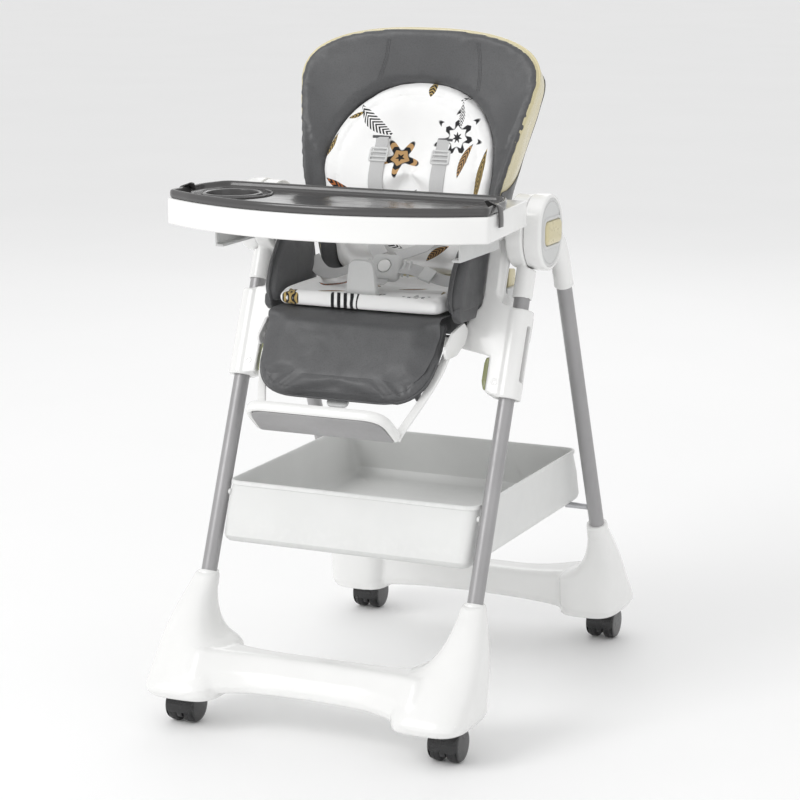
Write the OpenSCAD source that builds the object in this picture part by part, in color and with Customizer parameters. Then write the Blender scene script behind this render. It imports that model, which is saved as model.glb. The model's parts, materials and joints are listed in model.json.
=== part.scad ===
// Folding baby high chair on four casters. Millimetres, +Z up, front towards -Y.
// The origin is on the floor, midway between the four casters.

/* [Frame] */
// Diameter of the leg tubes
tube_d = 25; // [22:0.5:26]
// Half of the distance between the front leg tubes
front_leg_x = 230; // [228:0.5:231]
// Half of the distance between the rear leg tubes
rear_leg_x = 247.5; // [247:0.5:249]
// Lean of the front legs from the vertical, degrees
front_tilt = 22.3; // [21.8:0.1:22.8]
// Lean of the rear legs from the vertical, degrees
rear_tilt = 21.8; // [21.4:0.1:22.2]
// Height of the folding axis
hub_z = 765; // [762:1:768]
// Half of the outside width of a base
base_half = 272; // [271:0.5:275]
// Half of the outside depth over both bases
base_depth = 410; // [408:1:414]

/* [Casters] */
// Half of the distance between the caster stems, across
caster_x = 225; // [222:1:228]
// Half of the distance between the caster stems, front to back
caster_y = 345; // [342:1:348]
// Radius of a caster wheel
wheel_r = 25; // [23:0.5:25]

/* [Seat] */
// Half of the width of the calf pad
calf_half = 150; // [140:1:150]
// Lean of the calf pad from the vertical, degrees
calf_tilt = 42; // [40:0.5:44]
// Lean of the backrest from the vertical, degrees
back_tilt = 8; // [7:0.5:10]
// Height of the backrest above its hinge, along its own lean
back_h = 422; // [410:1:425]

/* [Tray] */
// Half of the width of the tray at its front corners
tray_half = 268; // [260:1:270]
// Underside of the tray
tray_z = 783; // [783:0.5:785]
// Height of the tray wall
tray_h = 40; // [36:1:42]
// Radius of the cup recess
cup_r = 40; // [36:1:40]

/* [Basket] */
// Half of the width of the basket
basket_half = 213; // [200:1:213]
// Height of the basket rim
basket_top = 362; // [350:1:364]
// Underside of the basket
basket_bottom = 268; // [268:1:275]

/* [Hidden] */

$fn = 64;
tube_r = tube_d / 2;
hub_y = -20;
hub_r = 58;
hub_split = 233.5;
hub_in = 206.5;
hub_out = 262;
hub_clear = 62;
rear_offset = 52.4;
sleeve_r = 15.5;
front_sleeve_end = 109;
rear_sleeve_end = 127;
front_socket = 597;
socket_r = 18;
leg_end = 680;
base_bottom = 56;
base_bar_top = 128;
socket_z = 219;
toe_z = 74;
pin_r = 6;
run_gap = 0.06;
face_gap = 0.3;
carriage_top = 127.5;
carriage_end = 268.5;
carriage_r = 22;
flange_front = -20;
flange_t = 5;
cross_r = 8;
calf_pivot = [-155, 606];
back_pivot = [95, 640];
back_pin_r = 5;
liner_z = 823.3;
liner_t = 2.5;
cup_pos = [-180, -240];
buckle_pos = [-62, 696];
buckle_tilt = 55;
stem_r = 5;
trail = 12;
wall = 3;

// Colours of the materials
white = [0.95, 0.95, 0.94];
light_grey = [0.84, 0.84, 0.83];
tube_grey = [0.60, 0.59, 0.60];
dark_grey = [0.30, 0.31, 0.32];
liner_grey = [0.34, 0.33, 0.33];
cream = [0.82, 0.78, 0.60];
strap_grey = [0.78, 0.78, 0.78];
black = [0.10, 0.10, 0.11];
olive = [0.55, 0.58, 0.38];
steel = [0.65, 0.65, 0.67];

// ---- Placing ----

// The children on the right, and their mirror image on the left
module both_sides() {
    children();
    mirror([1, 0, 0]) children();
}

// The folding axis at the origin, with -Z down the front leg
module along_front_leg() {
    translate([0, hub_y, hub_z]) rotate([-front_tilt, 0, 0]) children();
}

// The folding axis at the origin, with -Z down the rear leg
module along_rear_leg() {
    translate([0, hub_y, hub_z]) rotate([rear_tilt, 0, 0]) children();
}

// The backrest hinge at the origin, with +Z up the backrest
module on_backrest() {
    translate([0, back_pivot[0], back_pivot[1]]) rotate([-back_tilt, 0, 0]) children();
}

// The calf hinge at the origin, with -Z down the calf pad and -Y out of its front
module on_legrest() {
    translate([0, calf_pivot[0], calf_pivot[1]]) rotate([-calf_tilt, 0, 0]) children();
}

// A cylinder along X between two places
module rod_x(r, x0, x1) {
    translate([x0, 0, 0]) rotate([0, 90, 0]) cylinder(r = r, h = x1 - x0);
}

// A box between two opposite corners
module box(low, high) {
    translate(low) cube(high - low);
}

// A flat outline in Y and Z, thickened along X between two places
module slab_x(x0, x1) {
    translate([x0, 0, 0]) rotate([90, 0, 90]) linear_extrude(x1 - x0) children();
}

// A flat outline in X and Z, thickened along Y between two places
module slab_y(y0, y1) {
    translate([0, y1, 0]) rotate([90, 0, 0]) linear_extrude(y1 - y0) children();
}

// A rectangle with round corners between two opposite corners
module round_rect(low, high, r) {
    translate([low[0] + r, low[1]]) square([high[0] - low[0] - 2 * r, high[1] - low[1]]);
    translate([low[0], low[1] + r]) square([high[0] - low[0], high[1] - low[1] - 2 * r]);
    for (x = [low[0] + r, high[0] - r], y = [low[1] + r, high[1] - r])
        translate([x, y]) circle(r);
}

// ---- Bases ----

// Front view of a base: two towers that sweep down into a bar with an arched underside
module base_front_view(leg_x) {
    steps = 10;
    in_x = leg_x - socket_r - 1;
    out_x = leg_x + socket_r + 1;
    sweep = 64;
    inner = [for (i = [0:steps]) [in_x - sweep + sweep * sin(90 * i / steps),
        socket_z - (socket_z - base_bar_top) * cos(90 * i / steps)]];
    flare = [for (i = [0:steps]) [out_x + (base_half - out_x) * sin(90 * i / steps),
        socket_z - (socket_z - toe_z) * i / steps]];
    arch = [for (i = [0:steps]) [190 * cos(90 * i / steps),
        base_bottom + 16 * sin(90 * i / steps)]];
    half = concat([[0, base_bar_top]], inner, flare, [[base_half - 8, base_bottom]], arch);
    polygon(half);
    mirror([1, 0]) polygon(half);
}

// Side view of a base tower, front of the chair towards -Y
module tower_side_view(leg_y) {
    polygon([[leg_y - socket_r - 1, socket_z], [-base_depth + 14, toe_z + 22], [-base_depth, toe_z],
        [8 - base_depth, base_bottom], [leg_y - 12, base_bottom], [leg_y - 2, 150],
        [leg_y + 21, socket_z + 7]]);
}

// Side view of the bar, which leans back into the towers at its ends
module bar_side_view(leg_y) {
    polygon([[-368, 66], [-360, 98], [-338, 122], [leg_y - 20, socket_z], [leg_y + 19, socket_z + 7],
        [-270, 122], [-284, base_bottom], [-360, base_bottom]]);
}

// The whole base of one pair of legs, with its leg sockets and caster sockets
module base(leg_x, leg_y) {
    difference() {
        union() {
            intersection() {
                slab_y(-base_depth - 5, -200) base_front_view(leg_x);
                union() {
                    slab_x(-base_half, 10 - leg_x + socket_r) tower_side_view(leg_y);
                    slab_x(leg_x - socket_r - 10, base_half) tower_side_view(leg_y);
                }
            }
            intersection() {
                slab_y(-base_depth, -200) base_front_view(leg_x);
                slab_x(12 - leg_x, leg_x - 12) bar_side_view(leg_y);
            }
        }
        both_sides() translate([caster_x, -caster_y, base_bottom - 1])
            cylinder(r = stem_r + run_gap, h = 22);
    }
}

module front_base() {
    color(white) difference() {
        base(front_leg_x, -248);
        both_sides() along_front_leg() translate([front_leg_x, 0, -leg_end])
            cylinder(r = tube_r, h = 120);
    }
}

module rear_base() {
    color(white) difference() {
        mirror([0, 1, 0]) base(rear_leg_x, -256);
        both_sides() along_rear_leg() translate([rear_leg_x, rear_offset, -leg_end - 12])
            cylinder(r = tube_r, h = 120);
    }
}

// ---- Legs and folding hubs ----

module front_leg() {
    color(tube_grey) along_front_leg() translate([front_leg_x, 0, -leg_end]) difference() {
        cylinder(r = tube_r, h = leg_end - hub_clear);
        translate([0, 0, -1]) cylinder(r = tube_r - 1.5, h = leg_end);
    }
}
module front_leg_left() { mirror([1, 0, 0]) front_leg(); }
module front_leg_right() { front_leg(); }

module rear_leg() {
    color(tube_grey) along_rear_leg() translate([rear_leg_x, rear_offset, -leg_end - 12]) difference() {
        cylinder(r = tube_r, h = leg_end + 12 - hub_clear);
        translate([0, 0, -1]) cylinder(r = tube_r - 1.5, h = leg_end + 20);
    }
}
module rear_leg_left() { mirror([1, 0, 0]) rear_leg(); }
module rear_leg_right() { rear_leg(); }

// Inner half of a hub, with the sleeve that holds the front leg
module hub_inner() {
    color(white) difference() {
        union() {
            translate([0, hub_y, hub_z]) rod_x(hub_r, hub_in, hub_split - face_gap);
            along_front_leg() translate([front_leg_x, 0, -front_sleeve_end])
                cylinder(r = sleeve_r, h = front_sleeve_end);
        }
        translate([0, hub_y, hub_z]) rod_x(hub_clear, hub_split - face_gap, hub_out + 5);
        translate([0, hub_y, hub_z]) rod_x(pin_r, hub_in + 4, hub_out);
        along_front_leg() translate([front_leg_x, 0, -front_sleeve_end - 1])
            cylinder(r = tube_r, h = front_sleeve_end + 1 - hub_clear);
    }
}
module hub_inner_left() { mirror([1, 0, 0]) hub_inner(); }
module hub_inner_right() { hub_inner(); }

module hub_pins() {
    color(steel) both_sides() translate([0, hub_y, hub_z]) rod_x(pin_r, hub_in + 4, 245);
}

// Tall oval of the outer hub half, as a flat outline
module hub_oval(r, half_h) {
    translate([0, r - half_h]) circle(r);
    translate([0, half_h - r]) circle(r);
    translate([-r, r - half_h]) square([2 * r, 2 * (half_h - r)]);
}

// Flat outline of the fold button and of its frame, y and z about the folding axis
module button_outline(gap) {
    round_rect([-29 - gap, -18.5 - gap], [38 + gap, 18.5 + gap], 9);
}

// Outer half of a hub, with the sleeve that holds the rear leg
module hub_outer() {
    color(white) difference() {
        union() {
            translate([0, hub_y, hub_z]) slab_x(hub_split, hub_out) hub_oval(50, 60);
            along_rear_leg() translate([rear_leg_x, rear_offset, -rear_sleeve_end])
                cylinder(r = sleeve_r, h = rear_sleeve_end - 5);
        }
        translate([0, hub_y, hub_z]) rod_x(hub_r + 1, hub_in - 5, hub_split);
        translate([0, hub_y, hub_z]) rod_x(pin_r + run_gap, hub_split - 1, 246);
        translate([0, hub_y, hub_z]) slab_x(247, hub_out + 1) button_outline(0.5);
        translate([0, hub_y, hub_z]) slab_x(260, hub_out + 1) hub_oval(44, 54);
        along_rear_leg() translate([rear_leg_x, rear_offset, -rear_sleeve_end - 1])
            cylinder(r = tube_r, h = rear_sleeve_end + 1 - hub_clear);
    }
}
module hub_outer_left() { mirror([1, 0, 0]) hub_outer(); }
module hub_outer_right() { hub_outer(); }

module hub_faces() {
    color(light_grey) both_sides() translate([0, hub_y, hub_z]) difference() {
        slab_x(260, 261.4) hub_oval(43.8, 53.8);
        slab_x(259, hub_out) button_outline(3);
    }
}

module fold_button() {
    color(cream) translate([0, hub_y, hub_z]) slab_x(254, 265) button_outline(0);
}
module fold_button_left() { mirror([1, 0, 0]) fold_button(); }
module fold_button_right() { fold_button(); }

// Screws that hold the tubes in the bases
module leg_screws() {
    color(steel) both_sides() along_front_leg() translate([front_leg_x, 0, -front_socket - 22])
        rod_x(2.5, 2 - tube_r, tube_r - 2);
}

// ---- Basket ----

// Side view of the basket, made smaller all round by an inset
module basket_side_view(inset, lift) {
    polygon([[-200 + inset, basket_top + lift], [-236 + inset, basket_bottom + 24],
        [-232 + inset, basket_bottom + 8], [-216 + inset, basket_bottom + inset],
        [250 - inset, basket_bottom + inset], [266 - inset, basket_bottom + 8],
        [270 - inset, basket_bottom + 24], [234 - inset, basket_top + lift]]);
}

module basket() {
    color(light_grey) difference() {
        slab_x(-basket_half, basket_half) basket_side_view(0, 0);
        slab_x(wall - basket_half, basket_half - wall) basket_side_view(wall, 1);
    }
}

module basket_clips() {
    color(light_grey) both_sides() along_front_leg() translate([0, 0, -458])
        rod_x(5, basket_half, front_leg_x - tube_r);
}

// Pegs on the rear legs that carry the back of the basket
module basket_pegs() {
    peg_r = 5;
    peg_z = basket_bottom - face_gap - peg_r;
    down = (hub_z + rear_offset * sin(rear_tilt) - peg_z) / cos(rear_tilt);
    color(steel) both_sides() along_rear_leg() translate([0, rear_offset, -down])
        rod_x(peg_r, 196, rear_leg_x - tube_r);
}

// ---- Seat carriage ----

// Front view of a carriage bracket, x and height along the front leg
module carriage_front_view() {
    polygon([[170, -20], [192, -20], [196, -108], [206, -121], [front_leg_x, -carriage_top],
        [front_leg_x, -carriage_end], [199, -263], [198, -206], [150, -198], [143, -190],
        [141, -181], [142, -173], [149, -168], [156, -150], [172, -128], [174, -103]]);
}

// Side view of the web behind the bracket
module carriage_web_view() {
    polygon([[-15, -24], [-5, -24], [-5, -100], [60, -112], [132, -112], [132, -150],
        [70, -200], [-15, -204]]);
}

module carriage() {
    color(white) along_front_leg() difference() {
        union() {
            slab_y(flange_front, flange_front + flange_t) carriage_front_view();
            slab_x(199, 204) carriage_web_view();
            box([170, -16, -112], [199, -11, -20]);
            box([203, -16, -266], [226, 12, -204]);
            box([203, -16, -204], [222, -6, -128]);
            translate([front_leg_x, 0, -carriage_end])
                cylinder(r = carriage_r, h = carriage_end - carriage_top);
        }
        translate([front_leg_x, 0, -carriage_end - 1])
            cylinder(r = tube_r + face_gap, h = carriage_end - carriage_top + 2);
        translate([front_leg_x + 8, -8, -240]) cube([20, 16, 88]);
        translate([213, flange_front - 1, -246]) rotate([-90, 0, 0]) cylinder(r = 2.2, h = 12);
    }
}
module carriage_left() { mirror([1, 0, 0]) carriage(); }
module carriage_right() { carriage(); }

module height_paddle() {
    color(olive) along_front_leg() difference() {
        slab_y(-13, 10) polygon([[189, -216], [191, -208], [197.5, -206], [198, -260],
            [193, -258], [189, -246]]);
        translate([0, 0, -233]) rotate([90, 0, 0]) translate([183, 0, -5]) cylinder(r = 8, h = 10);
    }
}
module height_paddle_left() { mirror([1, 0, 0]) height_paddle(); }
module height_paddle_right() { height_paddle(); }

// Two tubes that join the carriages under the seat
module seat_cross_tubes() {
    color(tube_grey) along_front_leg() {
        translate([0, flange_front + flange_t + cross_r, -184]) rod_x(cross_r, -199, 199);
        translate([0, 119, -132]) rod_x(cross_r, -199, 199);
    }
}

// Armrests on top of the carriages, under the tray
module armrests() {
    color(white) both_sides() {
        difference() {
            slab_x(178, 202) round_rect([-190, 757], [30, 772], 7);
            along_front_leg() box([170, -25, -40], [205, 0, 20]);
        }
        along_front_leg() box([178, -16, -20], [198, -11, -8]);
    }
}

module seat_shell() {
    color(light_grey) difference() {
        union() {
            box([-154, -92, 606], [154, -8, 690]);
            box([-154, -92, 606], [154, 70, 650]);
            both_sides() box([150, 60, 612], [157, 108, 656]);
        }
        box([-150, -120, 610], [150, 72, 700]);
        both_sides() translate([0, back_pivot[0], back_pivot[1]])
            rod_x(back_pin_r + run_gap, 140, 160);
    }
}

// Dark cover: seat pad and the two raised side wings
module seat_cover() {
    wing = [[-80, 632], [-80, 648], [-160, 648], [-164, 672], [-146, 714], [-118, 744],
        [-70, 752], [-22, 752], [-14, 700], [-14, 632]];
    color(dark_grey) {
        box([-149.7, -92, 610], [149.7, 58, 640]);
        box([-133, -115, 610], [133, -92, 640]);
        both_sides() slab_x(154.3, 168) polygon(wing);
        both_sides() intersection() {
            slab_x(143, 154.3) polygon(wing);
            box([143, -170, 648], [154.3, -92.3, 752]);
        }
        both_sides() intersection() {
            slab_x(142, 154.3) polygon(wing);
            box([142, -110, 690.3], [154.3, 20, 752]);
        }
    }
}

// Pale insert on the seat, with side rolls and a front roll
module seat_insert() {
    color(white) {
        box([-138, -168, 647], [138, 8, 661]);
        translate([0, -168, 659]) rod_x(12, -138, 138);
        both_sides() translate([128, -156, 664]) rotate([-90, 0, 0]) cylinder(r = 12, h = 146);
        box([-142, -110, 640], [142, 4, 647]);
    }
}

module crotch_post() {
    color(strap_grey) slab_y(-160, -149)
        polygon([[-27, 669.5], [-22, 716], [-14, 725], [14, 725], [22, 716], [27, 669.5]]);
}

module harness_waist() {
    color(strap_grey) both_sides() box([26, -62, 677], [108, -38, 680]);
}

module harness_crotch() {
    color(strap_grey) box([-12, -148, 677], [12, -86, 680]);
}

// Leans the children back from the seat with the buckle, which faces forwards and up
module on_buckle() {
    translate([0, buckle_pos[0], buckle_pos[1]]) rotate([buckle_tilt, 0, 0]) children();
}

module buckle_body() {
    color(light_grey) on_buckle() difference() {
        linear_extrude(13) round_rect([-26, -22], [26, 22], 9);
        translate([0, 0, 7]) cylinder(r = 11.5, h = 10);
    }
}

module buckle_button() {
    color(white) on_buckle() translate([0, 0, 9.3]) cylinder(r = 11, h = 5.5);
}

// ---- Backrest ----

// Outline of the backrest, x and height along its lean, moved in by an inset
module back_outline(inset) {
    steps = 12;
    wide = 213 - inset;
    arch_z = 335;
    arch = [for (i = [0:steps]) [wide * pow(max(cos(90 * i / steps), 0), 0.8),
        arch_z + (back_h - inset - arch_z) * pow(sin(90 * i / steps), 0.8)]];
    half = concat([[0, 14 + inset], [148 - inset, 14 + inset], [203 - inset, 280]], arch);
    polygon(half);
    mirror([1, 0]) polygon(half);
}

module backrest_shell() {
    color(cream) on_backrest() difference() {
        union() {
            slab_y(-32, 0) back_outline(0);
            both_sides() slab_x(142.5, 149.5)
                round_rect([-14, -14], [14, 40], 10);
        }
        slab_y(-33, -6) back_outline(8);
        rod_x(back_pin_r, -160, 160);
    }
}

// Outline of the pale insert with its arched top, made larger by a gap
module insert_outline(gap) {
    half = 138 + gap;
    translate([-half, 24 - gap]) square([2 * half, 170]);
    intersection() {
        translate([0, 190]) circle(half);
        translate([-half, 180]) square([2 * half, 180]);
    }
}

module back_cover() {
    color(dark_grey) on_backrest() difference() {
        union() {
            slab_y(-100, -32) back_outline(1);
            both_sides() slab_y(-128, -99)
                polygon([[142, 138], [164, 138], [196, 300], [184, 322], [142, 250]]);
        }
        slab_y(-129, -50) insert_outline(face_gap);
    }
}

module back_rear_cover() {
    color(dark_grey) on_backrest() slab_y(0, 14) back_outline(14);
}

module back_insert() {
    color(white) on_backrest() slab_y(-88, -50.3) insert_outline(0);
}

module shoulder_straps() {
    color(strap_grey) on_backrest() both_sides() box([44, -91.3, 60], [69, -88.3, 250]);
}

module strap_adjusters() {
    color(light_grey) on_backrest() both_sides() slab_y(-95, -91.3)
        round_rect([40, 196], [73, 222], 4);
}

module back_hinge_pins() {
    color(steel) translate([0, back_pivot[0], back_pivot[1]]) both_sides()
        rod_x(back_pin_r, 142.5, 159);
}

// Grip behind the backrest that frees the recline
module recline_lever() {
    color(light_grey) on_backrest() slab_y(14.5, 23) round_rect([-45, 286], [45, 312], 8);
}

// ---- Leg rest and footrest ----

calf_top = 19;
calf_end = -127;

module legrest_mounts() {
    color(white) both_sides() difference() {
        union() {
            translate([0, calf_pivot[0], calf_pivot[1]]) rod_x(8.5, 134, 140);
            slab_x(134, 140) polygon([[-155, 598], [-155, 613], [-104, 606], [-96, 587]]);
            translate([0, calf_pivot[0], calf_pivot[1]]) rod_x(4, 123, 134);
        }
        along_front_leg() translate([0, flange_front + flange_t + cross_r, -184])
            rod_x(cross_r, 130, 150);
    }
}

module calf_panel() {
    color(dark_grey) on_legrest() {
        slab_y(-14, -9) round_rect([-calf_half + 4, calf_end + 4], [calf_half - 4, calf_top - 3], 20);
        both_sides() difference() {
            union() {
                box([126, -9, -12], [133.6, 0, 8]);
                rod_x(8, 126, 133.6);
            }
            rod_x(4 + run_gap, 120, 135);
        }
        both_sides() box([125, -9, -110], [129, 0, -30]);
    }
}

module calf_pad() {
    color(dark_grey) on_legrest()
        slab_y(-30, -14) round_rect([-calf_half, calf_end], [calf_half, calf_top], 24);
}

module legrest_lever() {
    color(light_grey) on_legrest() slab_y(-8.6, -3)
        round_rect([-18, calf_end - 8], [18, calf_end + 34], 8);
}

// U-shaped footrest: two flat arms behind the calf pad and a tilted foot plate
module footrest() {
    tread = [[-3.5, -170], [-8.5, -170], [-76, -166], [-84, -170], [-85, -178],
        [-79, -184], [-6, -187], [-2, -180]];
    color(white) on_legrest() {
        both_sides() box([110, -8.5, -176], [122, -3.5, -24]);
        difference() {
            slab_x(-122, 122) polygon(tread);
            slab_x(-96, 96) polygon([[-16, -179], [-68, -176], [-70, -192], [-14, -194]]);
        }
    }
}

// ---- Tray ----

tray_corner_y = -290;
tray_nose = 82;
tray_arc_r = (tray_half * tray_half + tray_nose * tray_nose) / (2 * tray_nose);
tray_arc_y = tray_corner_y - tray_nose + tray_arc_r;
tray_arc_a = asin(tray_half / tray_arc_r);

// Points along the bowed front of the tray, left to right, moved in by an inset
function tray_front(inset) = let (a = asin((tray_half - inset) / (tray_arc_r - inset)))
    [for (i = [-10:10]) [(tray_arc_r - inset) * sin(a * i / 10),
        tray_arc_y - (tray_arc_r - inset) * cos(a * i / 10)]];

// Plan of the tray body, with two arms that reach back beside the child
module tray_plan(inset) {
    polygon(concat(tray_front(inset), [[250 - inset, -92 - inset], [172 + inset, -92 - inset],
        [160 + inset, -150 - inset], [130, -166 - inset], [-130, -166 - inset],
        [-160 - inset, -150 - inset], [-172 - inset, -92 - inset], [inset - 250, -92 - inset]]));
}

// Flat top of the tray, with a round hole that clears the cup
module tray_body() {
    color(white) difference() {
        translate([0, 0, tray_z + tray_h - 4]) linear_extrude(4) tray_plan(0);
        translate([cup_pos[0], cup_pos[1], tray_z]) cylinder(r = cup_r + 4, h = tray_h + 1);
    }
}

// Wall that hangs from the edge of the tray's top
module tray_skirt() {
    color(white) difference() {
        translate([0, 0, tray_z]) linear_extrude(tray_h - 4) tray_plan(0);
        translate([0, 0, tray_z - 1]) linear_extrude(tray_h + 1) tray_plan(4);
        translate([cup_pos[0], cup_pos[1], tray_z - 1]) cylinder(r = cup_r + 4, h = tray_h + 1);
    }
}

// Channels under the tray that slide on the armrests
module tray_guides() {
    color(light_grey) difference() {
        both_sides() {
            box([202.4, -250, 750], [206, -97, tray_z + tray_h - 5]);
            box([192, -250, 746], [206, -97, 750]);
            box([174, -250, 775], [202.4, -97, 779]);
        }
        translate([cup_pos[0], cup_pos[1], 805]) cylinder(r = cup_r + 4, h = 20);
    }
}

module tray_release() {
    color(light_grey) translate([0, 0, tray_z + 2]) linear_extrude(8)
        round_rect([-40, -352], [40, -330], 6);
}

// Plan of the loose liner
module liner_plan(inset) {
    polygon(concat(tray_front(3 + inset), [[252 - inset, -172], [240 - inset, -150 - inset],
        [inset - 240, -150 - inset], [inset - 252, -172]]));
}

// Flat floor of the liner, with a round hole for its cup
module tray_liner() {
    color(liner_grey) difference() {
        translate([0, 0, liner_z]) linear_extrude(liner_t) liner_plan(5);
        translate([cup_pos[0], cup_pos[1], liner_z - 1]) cylinder(r = cup_r + 2.5, h = 10);
    }
}

module liner_rim() {
    color(liner_grey) difference() {
        translate([0, 0, liner_z]) linear_extrude(13) liner_plan(0);
        translate([0, 0, liner_z - 1]) linear_extrude(20) liner_plan(5);
    }
}

module liner_cup() {
    color(liner_grey) translate([cup_pos[0], cup_pos[1], liner_z - 14]) difference() {
        cylinder(r = cup_r + 2.5, h = 21);
        translate([0, 0, liner_t]) cylinder(r = cup_r, h = 40);
    }
}

// ---- Casters ----

// Hood, web and stem of a twin-wheel caster, about its swivel axis
module caster() {
    color(black) difference() {
        union() {
            intersection() {
                translate([0, trail, wheel_r]) rod_x(wheel_r + 4.3, -25, 25);
                box([-25, trail - 32, wheel_r + 3], [25, trail + 32, 56]);
            }
            translate([0, trail, wheel_r]) rod_x(14, -4, 4);
            box([-4, trail - 14, wheel_r], [4, trail + 14, 50]);
            cylinder(r = stem_r, h = base_bottom + 20);
            translate([0, 0, 46]) cylinder(r = 11, h = 8.5);
        }
        both_sides() translate([0, trail, wheel_r]) rod_x(wheel_r + 0.6, 4.4, 22.6);
        translate([0, trail, wheel_r]) rod_x(3 + run_gap, -5, 5);
    }
}

// Two wheels with round treads on one axle
module caster_wheels() {
    color(black) translate([0, trail, wheel_r]) {
        rod_x(3, -6, 6);
        both_sides() translate([5, 0, 0]) rotate([0, 90, 0]) rotate_extrude()
            polygon([[0, 0], [wheel_r - 3, 0], [wheel_r - 0.8, 1], [wheel_r, 4], [wheel_r, 13],
                [wheel_r - 0.8, 16], [wheel_r - 3, 17], [9, 17], [8, 15], [0, 15]]);
    }
}

module at_caster(x_side, y_side) {
    translate([x_side * caster_x, y_side * caster_y, 0]) children();
}

module caster_front_left() { at_caster(-1, -1) caster(); }
module caster_front_right() { at_caster(1, -1) caster(); }
module caster_rear_left() { at_caster(-1, 1) caster(); }
module caster_rear_right() { at_caster(1, 1) caster(); }
module caster_wheels_front_left() { at_caster(-1, -1) caster_wheels(); }
module caster_wheels_front_right() { at_caster(1, -1) caster_wheels(); }
module caster_wheels_rear_left() { at_caster(-1, 1) caster_wheels(); }
module caster_wheels_rear_right() { at_caster(1, 1) caster_wheels(); }

front_base();
front_leg_left();
front_leg_right();
hub_inner_left();
hub_inner_right();
hub_pins();
leg_screws();
basket();
basket_clips();
rear_base();
rear_leg_left();
rear_leg_right();
hub_outer_left();
hub_outer_right();
hub_faces();
basket_pegs();
fold_button_left();
fold_button_right();
carriage_left();
carriage_right();
seat_cross_tubes();
seat_shell();
armrests();
seat_cover();
seat_insert();
crotch_post();
harness_waist();
harness_crotch();
buckle_body();
buckle_button();
height_paddle_left();
height_paddle_right();
backrest_shell();
back_cover();
back_rear_cover();
back_insert();
shoulder_straps();
strap_adjusters();
back_hinge_pins();
recline_lever();
legrest_mounts();
calf_panel();
calf_pad();
legrest_lever();
footrest();
tray_body();
tray_skirt();
tray_guides();
tray_release();
tray_liner();
liner_rim();
liner_cup();
caster_front_left();
caster_front_right();
caster_rear_left();
caster_rear_right();
caster_wheels_front_left();
caster_wheels_front_right();
caster_wheels_rear_left();
caster_wheels_rear_right();
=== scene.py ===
"""Baby high chair: its looks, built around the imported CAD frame. Shapes are in millimetres in that frame."""
import json
import math

import bmesh
import bpy
import numpy as np
from mathutils import Matrix, Vector


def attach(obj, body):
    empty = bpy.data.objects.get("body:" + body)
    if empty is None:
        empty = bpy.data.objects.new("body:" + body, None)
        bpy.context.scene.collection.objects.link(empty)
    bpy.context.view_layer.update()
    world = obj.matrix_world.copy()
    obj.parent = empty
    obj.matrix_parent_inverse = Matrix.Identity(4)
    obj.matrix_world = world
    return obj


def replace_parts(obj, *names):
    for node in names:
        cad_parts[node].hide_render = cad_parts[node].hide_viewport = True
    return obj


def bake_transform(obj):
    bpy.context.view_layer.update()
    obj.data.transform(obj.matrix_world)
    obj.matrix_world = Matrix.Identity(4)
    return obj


MM = 0.001
SIDES = {"left": -1, "right": 1}
CLOTH_FRAMES = 20

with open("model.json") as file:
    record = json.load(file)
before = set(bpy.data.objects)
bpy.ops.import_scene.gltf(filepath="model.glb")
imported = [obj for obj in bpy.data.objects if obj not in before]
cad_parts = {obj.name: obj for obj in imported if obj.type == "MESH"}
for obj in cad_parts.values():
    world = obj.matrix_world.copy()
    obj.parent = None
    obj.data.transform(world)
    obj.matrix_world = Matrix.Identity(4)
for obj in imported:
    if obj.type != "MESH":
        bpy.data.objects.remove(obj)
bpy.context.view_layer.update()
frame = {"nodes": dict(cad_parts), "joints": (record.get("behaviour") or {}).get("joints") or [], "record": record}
scene = bpy.context.scene

# ---- Places taken from the frame ----


def placed(origin, up):
    """The matrix of a local frame with its own +Z along up, and +X across the chair."""
    up = Vector(up).normalized()
    across = Vector((1, 0, 0))
    return Matrix.Translation(origin) @ Matrix((across, up.cross(across), up)).transposed().to_4x4()


JOINT = {j["name"]: j for j in frame["joints"]}
HUB = Vector(JOINT["frame_fold"]["pos_m"])
REAR_LEAN = math.radians(21.8)
BACK = placed(JOINT["backrest_recline"]["pos_m"], JOINT["recline_lever_lift"]["axis"])
CALF = placed(JOINT["legrest_tilt"]["pos_m"], JOINT["legrest_lever_pull"]["axis"])
FRONT_LEG = placed(HUB, -Vector(JOINT["seat_height"]["axis"]))
REAR_LEG_AT = (247.5, 52.4)
REAR_LEG = placed(HUB, (0, -math.sin(REAR_LEAN), math.cos(REAR_LEAN)))
# Turns a prism so that its outline is (y, z) and its depth runs across the chair
ACROSS = Matrix(((0, 0, 1, 0), (1, 0, 0, 0), (0, 1, 0, 0), (0, 0, 0, 1)))
# Turns a solid of revolution so that its axis runs across the chair
AXLE = Matrix.Rotation(math.pi / 2, 4, "Y")

# ---- Mesh helpers ----


def set_mesh(obj, mesh):
    """Gives obj another mesh and drops its modifiers."""
    old = obj.data
    obj.modifiers.clear()
    obj.data = mesh
    bpy.data.meshes.remove(old)


def smooth(obj, angle=38):
    """Smooth shading, with a sharp edge where faces meet at more than angle degrees."""
    obj.data.shade_smooth()
    obj.data.set_sharp_from_angle(angle=math.radians(angle))
    return obj


def tidy(bm):
    """Merges doubled points and turns every face outwards."""
    bmesh.ops.remove_doubles(bm, verts=bm.verts, dist=1e-6)
    bmesh.ops.dissolve_degenerate(bm, edges=bm.edges, dist=1e-6)
    bmesh.ops.recalc_face_normals(bm, faces=bm.faces)


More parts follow.
